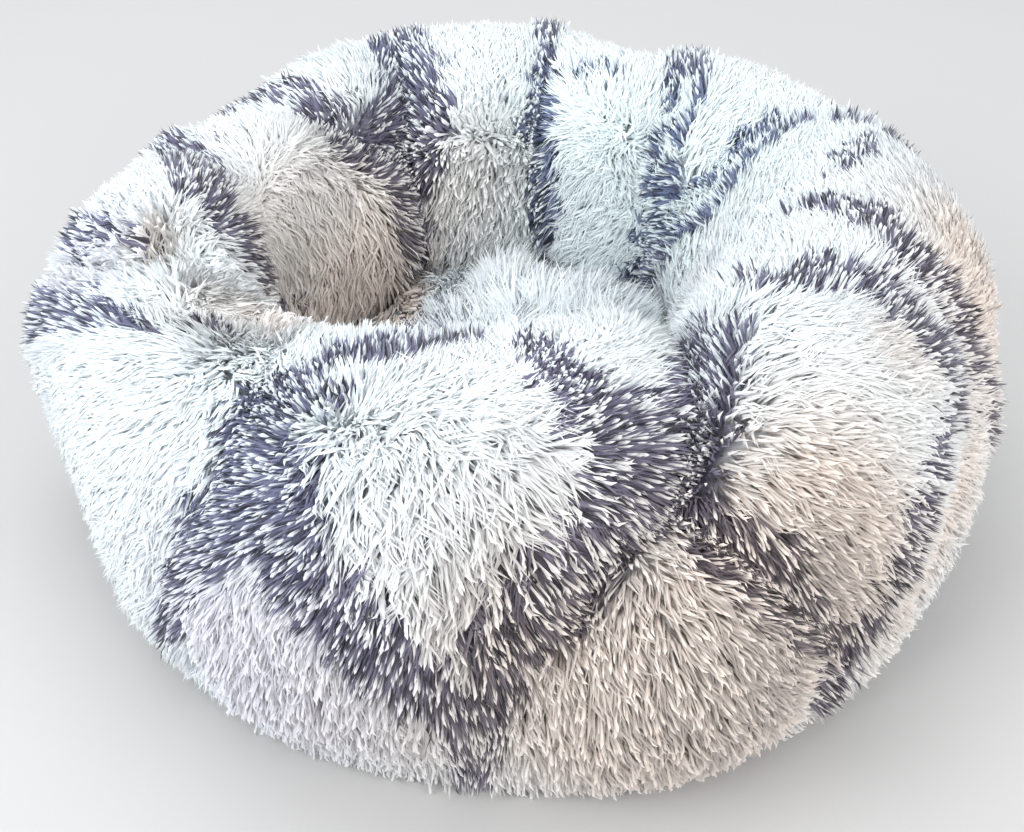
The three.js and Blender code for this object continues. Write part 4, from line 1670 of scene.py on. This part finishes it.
@dataclass(frozen=True)
class CushionPile:
    """Tufts of pile on the dome, standing up and a little outwards.

    Left of under_lobe_from, under the lobe that overhangs it, the pile is laid towards the near
    side and has the colours of painted warm bounce light, and left of painted_lobe_shadow_from it
    darkens with the lobe's painted shadow, each over the length of fade. On the dome's far part the
    pile is shorter and is laid towards the near side too. A span is the range of a random draw.
    """

    cushion: NestCushion
    pile: Pile
    # spacing
    pitch_factor: float = 1.02
    rim: float = 0.105
    least_roots: int = 5
    least_share: float = 0.01
    turn_step: float = 1.0
    share_step: float = 0.01
    # directions: outwards, up, with the tufts' noise and a drift to the far side and outwards
    out: float = 0.9
    up: Place = (0.0, 0.0, 0.35)
    tuft_bump: float = 0.009
    tuft_sway: float = 1.1
    drift: Place = (0.10, 0.42, 0.0)
    fan: float = 0.35
    fan_radius: float = 0.09
    drift_share: float = 0.8
    strand_sway: float = 0.16
    under_lobe_out: float = 0.5
    under_lobe_way: Place = (0.15, -0.9, -0.2)
    under_lobe_sway: float = 0.4
    near_way: Place = (0.0, -1.0, 0.1)
    near_at_root: float = 0.35
    near_at_tip: float = 0.6
    root_out: float = 0.8
    root_way: float = 0.5
    tip_sway: float = 0.5
    # lengths and widths
    length: float = 0.029
    tuft_stretch: float = 0.22
    stretch_bumps: float = 1.3
    strand_stretch: float = 0.14
    stretch_limits: Span = (0.55, 1.45)
    under_lobe_trim: float = 0.25
    far_trim: float = 0.30
    width_factor: Span = (0.75, 1.25)
    # colours: painted warm bounce light under the lobe, and the lobe's painted shadow on tips and
    # feet
    under_lobe_from: float = -0.054
    painted_lobe_shadow_from: float = -0.074
    fade: float = 0.022
    strand_level: float = 0.05
    painted_lobe_shadow_tip: float = 0.45
    painted_lobe_shadow_foot: float = 0.6
    middle_share: float = 0.7
    dyed_spot: tuple[float, float] = (-0.060, -0.012)
    dyed_radius: float = 0.022
    dyed_share: float = 0.85
    pale_ends: float = 0.3

    def roots(self, rng: Draws) -> tuple[Array, Array]:
        """Places of the strands in rings of even pitch, at random turns.

        Args:
            rng: Random numbers.

        Returns:
            Points on the dome, and the outward direction at each, by small steps.
        """
        pitch = self.pile.pitch * self.pitch_factor
        rows = round(self.rim / pitch)
        around = 2 * np.pi * ((np.arange(rows) + 0.5) / rows) * self.rim
        per_row = np.maximum(self.least_roots, np.round(around / pitch)).astype(int)
        row = np.repeat(np.arange(rows), per_row)
        turn = rng.uniform(0.0, FULL_TURN, row.size)
        share = (row + rng.uniform(0.0, 1.0, row.size)) / rows
        share = np.clip(share, self.least_share, 1.0)
        surface, inset = self.cushion.surface, self.pile.root_inset
        root = surface(turn, share, inset)
        along = surface(turn + self.turn_step, share, inset)
        along = unit(along - surface(turn - self.turn_step, share, inset))
        inward = unit(surface(turn, share * (1 - self.share_step), inset) - root)
        return root, unit(np.cross(along, inward))

    def grown(self, root: Array, outward: Array, under_lobe: Array,
              rng: Draws) -> tuple[Array, Array]:
        """Middles and tips of the strands: two steps of half the length.

        The first step leans outwards, and the second follows the sway and the drift further.

        Args:
            root: Points where the strands stand.
            outward: Outward direction at each.
            under_lobe: Share of the pile under the overhanging lobe at each, as a column.
            rng: Random numbers.

        Returns:
            Middles and tips.
        """
        n = len(root)
        x, y = root[:, 0] / self.tuft_bump, root[:, 1] / self.tuft_bump
        sway = flat_vectors(value_noise(x + 5, y, Seed.CUSHION_LAY_X),
                            value_noise(x, y + 9, Seed.CUSHION_LAY_Y)) * self.tuft_sway
        fan = self.fan * flat_vectors(root[:, 0], root[:, 1]) / self.fan_radius
        drift = np.array(self.drift) + fan
        way = (outward * self.out + np.array(self.up) + sway + drift * self.drift_share
               + rng.normal(0.0, self.strand_sway, (n, 3)))
        under_lobe_way = outward * self.under_lobe_out + np.array(self.under_lobe_way) + sway * self.under_lobe_sway
        way = mix(way, under_lobe_way, under_lobe)
        start = unit(outward * self.root_out + way * self.root_way)
        end = unit(way + (sway + drift) * self.tip_sway)
        tufted = value_noise(x * self.stretch_bumps, y * self.stretch_bumps, Seed.CUSHION_TUFTS)
        stretch = 1.0 + self.tuft_stretch * tufted + rng.normal(0.0, self.strand_stretch, n)
        length = self.length * np.clip(stretch, *self.stretch_limits)[:, None]
        far = self.cushion.far_share(root[:, 0], root[:, 1])[:, None]
        length = length * (1.0 - self.under_lobe_trim * under_lobe) * (1.0 - self.far_trim * far)
        near = np.array(self.near_way)
        middle = root + unit(mix(start, near, self.near_at_root * far)) * length * 0.5
        return middle, middle + unit(mix(end, near, self.near_at_tip * far)) * length * 0.5

    def strand_colours(self, root: Array, under_lobe: Array, painted_lobe_shadow: Array, rng: Draws) -> Array:
        """Colours of the strands: white, or in painted warm bounce light under the lobe and darker in
        its painted shadow, and dyed round one spot.

        The chance of dye is dyed_share times exp(-(distance / radius) squared) from the spot.

        Args:
            root: Points where the strands stand.
            under_lobe: Share of the pile under the lobe, in painted warm bounce light, as a column.
            painted_lobe_shadow: Share of the lobe's painted shadow at each, as a column.
            rng: Random numbers.

        Returns:
            Five rows of red, green and blue a strand, one for each of its points.
        """
        n, colours = len(root), self.pile.colours
        level = (1.0 + rng.normal(0.0, self.strand_level, n))[:, None]
        # painted warm bounce light under the lobe; the lobe's painted shadow darkens tips and feet
        end = mix(np.array(colours.white_tip), np.array(colours.cream_tip), under_lobe)
        end = end * level * (1.0 - self.painted_lobe_shadow_tip * painted_lobe_shadow)
        foot = mix(np.array(colours.white_root), np.array(colours.cream_root), under_lobe)
        foot = foot * level * (1.0 - self.painted_lobe_shadow_foot * painted_lobe_shadow)
        middle = mix(foot, end, self.middle_share)
        away = np.linalg.norm(root[:, :2] - np.array(self.dyed_spot), axis=1) / self.dyed_radius
        dyed = (self.dyed_share * np.exp(-(away**2)) > rng.uniform(0.0, 1.0, n))[:, None]
        foot = np.where(dyed, colours.dark_root, foot)
        middle = np.where(dyed, colours.dark_root, middle)
        dark_end = dyed & (rng.uniform(0.0, 1.0, (n, 1)) > self.pale_ends)
        return strand_rows(foot, middle, np.where(dark_end, colours.dark_tip, end))

    def build(self, finish: Material) -> Piece:
        """One mesh of all the strands.

        Args:
            finish: Its material.

        Returns:
            The object, painted and with its own map.
        """
        rng = np.random.default_rng(Seed.CUSHION_PILE)
        root, outward = self.roots(rng)
        # the pile under the overhanging lobe, in painted warm bounce light, and the lobe's painted
        # shadow further left
        under_lobe = smooth((self.under_lobe_from - root[:, 0]) / self.fade)[:, None]
        painted_lobe_shadow = smooth((self.painted_lobe_shadow_from - root[:, 0]) / self.fade)[:, None]
        middle, tip = self.grown(root, outward, under_lobe, rng)
        n = len(root)
        spin = rng.uniform(0.0, 2 * np.pi, n)
        wide = self.pile.width * rng.uniform(*self.width_factor, n)
        made = spindles("cushion_pile", (root, middle, tip), outward, wide, spin,
                        self.pile.softness)
        paint(made, self.strand_colours(root, under_lobe, painted_lobe_shadow, rng))
        map_strands(made, n)
        dress(made, finish)
        return made


@dataclass(frozen=True)
class RingFilling:
    """The loose fibre in the ring, lumpy under the backing and flat on the base cloth."""

    form: RingForm
    inset: float = 0.0165
    lump_height: float = 0.0012
    lump_turn: float = 6.0
    lump_roll: float = 9.0
    columns: int = 180
    rows: int = 72

    def build(self, finish: Material) -> Piece:
        """A closed body: the ring's own formula further in, less a noise for the lumps.

        Args:
            finish: Its material.

        Returns:
            The body; quads from the last row to the first close its foot.
        """
        turn, roll = even_turns(self.columns), self.form.rolls(self.rows)
        turn, roll = np.meshgrid(turn, roll, indexing="ij")
        lumps = value_noise(turn / self.lump_turn, roll / self.lump_roll, Seed.RING_LUMPS)
        points = self.form.points(turn, roll, self.inset + self.lump_height * (1.0 + lumps))
        points[..., 2] = np.maximum(points[..., 2], FIBRE_FLOOR)
        c, n = columns_and_next(self.columns, closed=True)
        last = self.rows - 1
        foot = [c * self.rows + last, n * self.rows + last, n * self.rows, c * self.rows]
        quads = grid_faces(self.columns, self.rows, closed=True)
        made = mesh_object("ring_fibre", points.reshape(-1, 3),
                           np.concatenate([quads, np.stack(foot, axis=-1)]))
        dress(made, finish)
        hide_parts("ring_filling")
        return made


def circle(count: int) -> Array:
    """Even points of a circle of radius 1, as rows of x and y."""
    a = np.arange(count) * 2 * np.pi / count
    return np.stack([np.cos(a), np.sin(a)], axis=-1)


def turned(profile: Array, count: int) -> Array:
    """A profile turned round the upright axis: its radius times the cosine and sine, its height.

    Args:
        profile: Rows of radius and height.
        count: Number of columns.

    Returns:
        Points, with the columns on the first axis.
    """
    around = circle(count)
    x = profile[None, :, 0] * around[:, None, 0]
    y = profile[None, :, 0] * around[:, None, 1]
    return np.stack([x, y, np.broadcast_to(profile[None, :, 1], x.shape)], axis=-1)


@dataclass(frozen=True)
class BaseCloth:
    """The woven base with its moulded grip dots."""

    radius: float = 0.245
    low: float = 0.0008
    high: float = 0.0020
    columns: int = 144
    rows: int = 24
    shares: Span = (0.02, 0.995)
    dot_radius: float = 0.0045
    dot_pitch: float = 0.050
    dot_rings: int = 4
    dot_sides: int = 16
    dot_profile: Line = ((0.001, 0.0), (0.86, 0.0), (0.96, 0.12), (1.0, 0.35), (1.0, 1.2),
                         (0.001, 1.2))

    def build_cloth(self, finish: Material) -> Piece:
        """A thin disc with a rounded rim: a profile turned round the axis.

        Args:
            finish: Its material.

        Returns:
            The disc.
        """
        shares = np.linspace(*self.shares, self.rows)
        below = np.stack([self.radius * shares, np.full(self.rows, self.low)], axis=-1)
        above = np.stack([self.radius * shares[::-1], np.full(self.rows, self.high)], axis=-1)
        profile = np.concatenate([below, [[self.radius, (self.low + self.high) / 2]], above])
        poles = [[0, 0, self.low], [0, 0, self.high]]
        points = np.concatenate([turned(profile, self.columns).reshape(-1, 3), poles])
        faces = capped_faces(self.columns, len(profile))
        made = mesh_object("base_weave", points, faces, smooth_faces=False)
        dress(made, finish)
        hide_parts("base_cloth")
        return made

    def build_dots(self, finish: Material) -> Piece:
        """Grip dots in rings: each a low button with rounded shoulders, flat where it stands.

        The dot's profile is given in shares of its radius and of the cloth's height over the
        floor. A ring has as many dots as its length holds at their pitch.

        Args:
            finish: Their material.

        Returns:
            All the dots as one piece.
        """
        rings = [ring * self.dot_pitch * circle(round(2 * np.pi * ring))
                 for ring in range(1, self.dot_rings + 1)]
        centre = np.concatenate([np.zeros((1, 2)), *rings])
        profile = np.array(self.dot_profile) * np.array([self.dot_radius, self.low])
        dot = turned(profile, self.dot_sides).reshape(-1, 3)
        points = dot[None] + flat_vectors(centre[:, 0], centre[:, 1])[:, None]
        one = grid_faces(self.dot_sides, len(profile), closed=True)
        faces = (np.arange(len(centre)) * len(dot))[:, None, None] + one[None]
        made = mesh_object("grip_dots", points.reshape(-1, 3), faces.reshape(-1, 4),
                           smooth_faces=False)
        log.info("%d grip dots", len(centre))
        dress(made, finish)
        return made


@dataclass(frozen=True)
class Lamp:
    """A square soft lamp: its place, power and colour."""

    name: str
    place: Place
    power: float
    colour: Colour
    size: float = 1.6


@dataclass(frozen=True)
class Studio:
    """Pale floor, soft lamps and the camera."""

    floor_colour: Rgba = (0.58, 0.57, 0.56, 1.0)
    floor_reach: float = 7.0
    floor_points: int = 24
    floor_roughness: float = 0.7
    mottle_scale: float = 3.0
    mottle_level: float = 0.97
    sky_colour: Rgba = (0.93, 0.96, 1.0, 1.0)
    sky_strength: float = 0.95
    lamps: tuple[Lamp, ...] = (Lamp("key", (-1.7, -1.3, 1.5), 38.0, (0.95, 0.98, 1.0)),
                               Lamp("fill", (1.5, -1.6, 1.3), 22.0, (1.0, 0.97, 0.94)),
                               Lamp("top", (-0.3, 0.4, 2.4), 14.0, (0.97, 0.99, 1.0)))
    focal_px: float = 1500.0
    image_width_px: float = 1024.0
    sensor_width: float = 36.0
    pitch: float = 34.78
    roll: float = 1.23
    distance: float = 0.9629
    aim: Place = (0.0, 0.0, 0.12)
    shift_right_px: float = 11.8
    shift_up_px: float = 77.0

    def build_floor(self) -> None:
        """Build a wide floor with faint mottling."""
        line = np.linspace(-self.floor_reach, self.floor_reach, self.floor_points)
        points = flat_vectors(*np.meshgrid(line, line, indexing="ij")).reshape(-1, 3)
        faces = grid_faces(self.floor_points, self.floor_points, closed=False)
        made = mesh_object("floor", points, faces)
        material, tree, shader = node_material("floor_plain", self.floor_roughness)
        noise = add_node(tree, "TexNoise", {"Scale": self.mottle_scale})
        darker = tuple(c * self.mottle_level for c in self.floor_colour[:3]) + (1.0,)
        colour = add_ramp(tree, noise.outputs["Fac"], darker, self.floor_colour)
        tree.links.new(object_place(tree), noise.inputs["Vector"])
        tree.links.new(colour, shader.inputs["Base Color"])
        made.data.materials.append(material)
        made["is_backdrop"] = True

    def build_world(self) -> None:
        """Build even soft light, and a white background where the camera looks past the floor."""
        world = bpy.data.worlds.new("studio")
        bpy.context.scene.world = world
        world.use_nodes = True
        tree = world.node_tree
        light = tree.nodes["Background"]
        light.inputs["Color"].default_value = self.sky_colour
        light.inputs["Strength"].default_value = self.sky_strength
        white = add_node(tree, "Background", {"Color": (1.0, 1.0, 1.0, 1.0)})
        path = add_node(tree, "LightPath")
        seen = path.outputs["Is Camera Ray"]
        for ray in ("Is Glossy Ray", "Is Transmission Ray"):
            either = add_node(tree, "Math")
            either.operation = "MAXIMUM"
            tree.links.new(seen, either.inputs[0])
            tree.links.new(path.outputs[ray], either.inputs[1])
            seen = either.outputs["Value"]
        choose = add_node(tree, "MixShader")
        tree.links.new(seen, choose.inputs["Fac"])
        tree.links.new(light.outputs["Background"], choose.inputs[1])
        tree.links.new(white.outputs["Background"], choose.inputs[2])
        tree.links.new(choose.outputs["Shader"], tree.nodes["World Output"].inputs["Surface"])

    def build_lamp(self, lamp: Lamp) -> None:
        """Build a lamp that faces the bed.

        Args:
            lamp: Its values.
        """
        data = bpy.data.lights.new(lamp.name, "AREA")
        data.size = lamp.size
        data.energy = lamp.power
        data.color = lamp.colour
        made = bpy.data.objects.new(lamp.name, data)
        made.location = lamp.place
        facing = Vector(self.aim) - Vector(lamp.place)
        made.rotation_euler = facing.to_track_quat("-Z", "Y").to_euler()
        bpy.context.scene.collection.objects.link(made)
        made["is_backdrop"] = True

    def build_camera(self) -> None:
        """Build the camera at the photo's viewing angle, with its small shift."""
        data = bpy.data.cameras.new("camera")
        data.sensor_width = self.sensor_width
        data.lens = self.focal_px / self.image_width_px * self.sensor_width
        data.shift_x = -self.shift_right_px / self.image_width_px
        data.shift_y = -self.shift_up_px / self.image_width_px
        camera = bpy.data.objects.new("camera", data)
        down = math.radians(self.pitch)
        forward = Vector((0.0, math.cos(down), -math.sin(down)))
        place = Vector(self.aim) - forward * self.distance
        turned_down = forward.to_track_quat("-Z", "Y").to_matrix().to_4x4()
        camera.matrix_world = (Matrix.Translation(place) @ turned_down
                               @ Matrix.Rotation(math.radians(self.roll), 4, "Z"))
        bpy.context.scene.collection.objects.link(camera)
        bpy.context.scene.camera = camera

    def build(self) -> None:
        """Build the floor, the light and the camera."""
        self.build_floor()
        self.build_world()
        for lamp in self.lamps:
            self.build_lamp(lamp)
        self.build_camera()
        bpy.context.scene.view_settings.view_transform = "Standard"


def write_sizes() -> None:
    """Keep the box of the part and of the looks side by side."""
    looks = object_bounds()
    sizes = {"cad": [list(corner) for corner in CAD_BOX], "looks": [list(corner) for corner in looks]}
    for name, box in sizes.items():
        low, high = ([round(v / MILLIMETRE) for v in corner] for corner in box)
        log.info("%s box in mm: %s to %s", name, low, high)


def report(piece: Piece) -> None:
    """Log a piece with its number of faces."""
    log.info("%s: %d faces", piece.name, len(piece.data.polygons))


def main() -> None:
    """Build the bed from its base upwards, then the studio."""
    logging.basicConfig(level=logging.INFO, format="%(message)s")
    form = RingForm()
    coat = Coat(form)
    pile = Pile(form, coat)
    ring_fur = PileFinish("ring_plush").build()
    cushion_fur = PileFinish("cushion_plush").build()
    fibre = FibreFinish().build()
    weave = WeaveFinish("base_weave", (0.115, 0.112, 0.118, 1.0), (0.04, 0.04, 0.045, 1.0)).build()
    rubber = WeaveFinish("grip_rubber", (0.07, 0.07, 0.075, 1.0), (0.035, 0.035, 0.04, 1.0),
                         threads=90.0, roughness=0.6).build()
    base = BaseCloth()
    report(base.build_cloth(weave))
    report(base.build_dots(rubber))
    report(RingFilling(form).build(fibre))
    cushion = NestCushion(form)
    report(cushion.build_filling(fibre))
    report(cushion.build_backing(pile.colours.white_root, cushion_fur))
    report(CushionPile(cushion, pile).build(cushion_fur))
    cover = RingCover(form, coat, pile)
    for side in Side:
        report(cover.build_backing(side, ring_fur))
    for piece in cover.build_pile(ring_fur):
        report(piece)
    Studio().build()
    write_sizes()


if __name__ == "__main__":
    main()
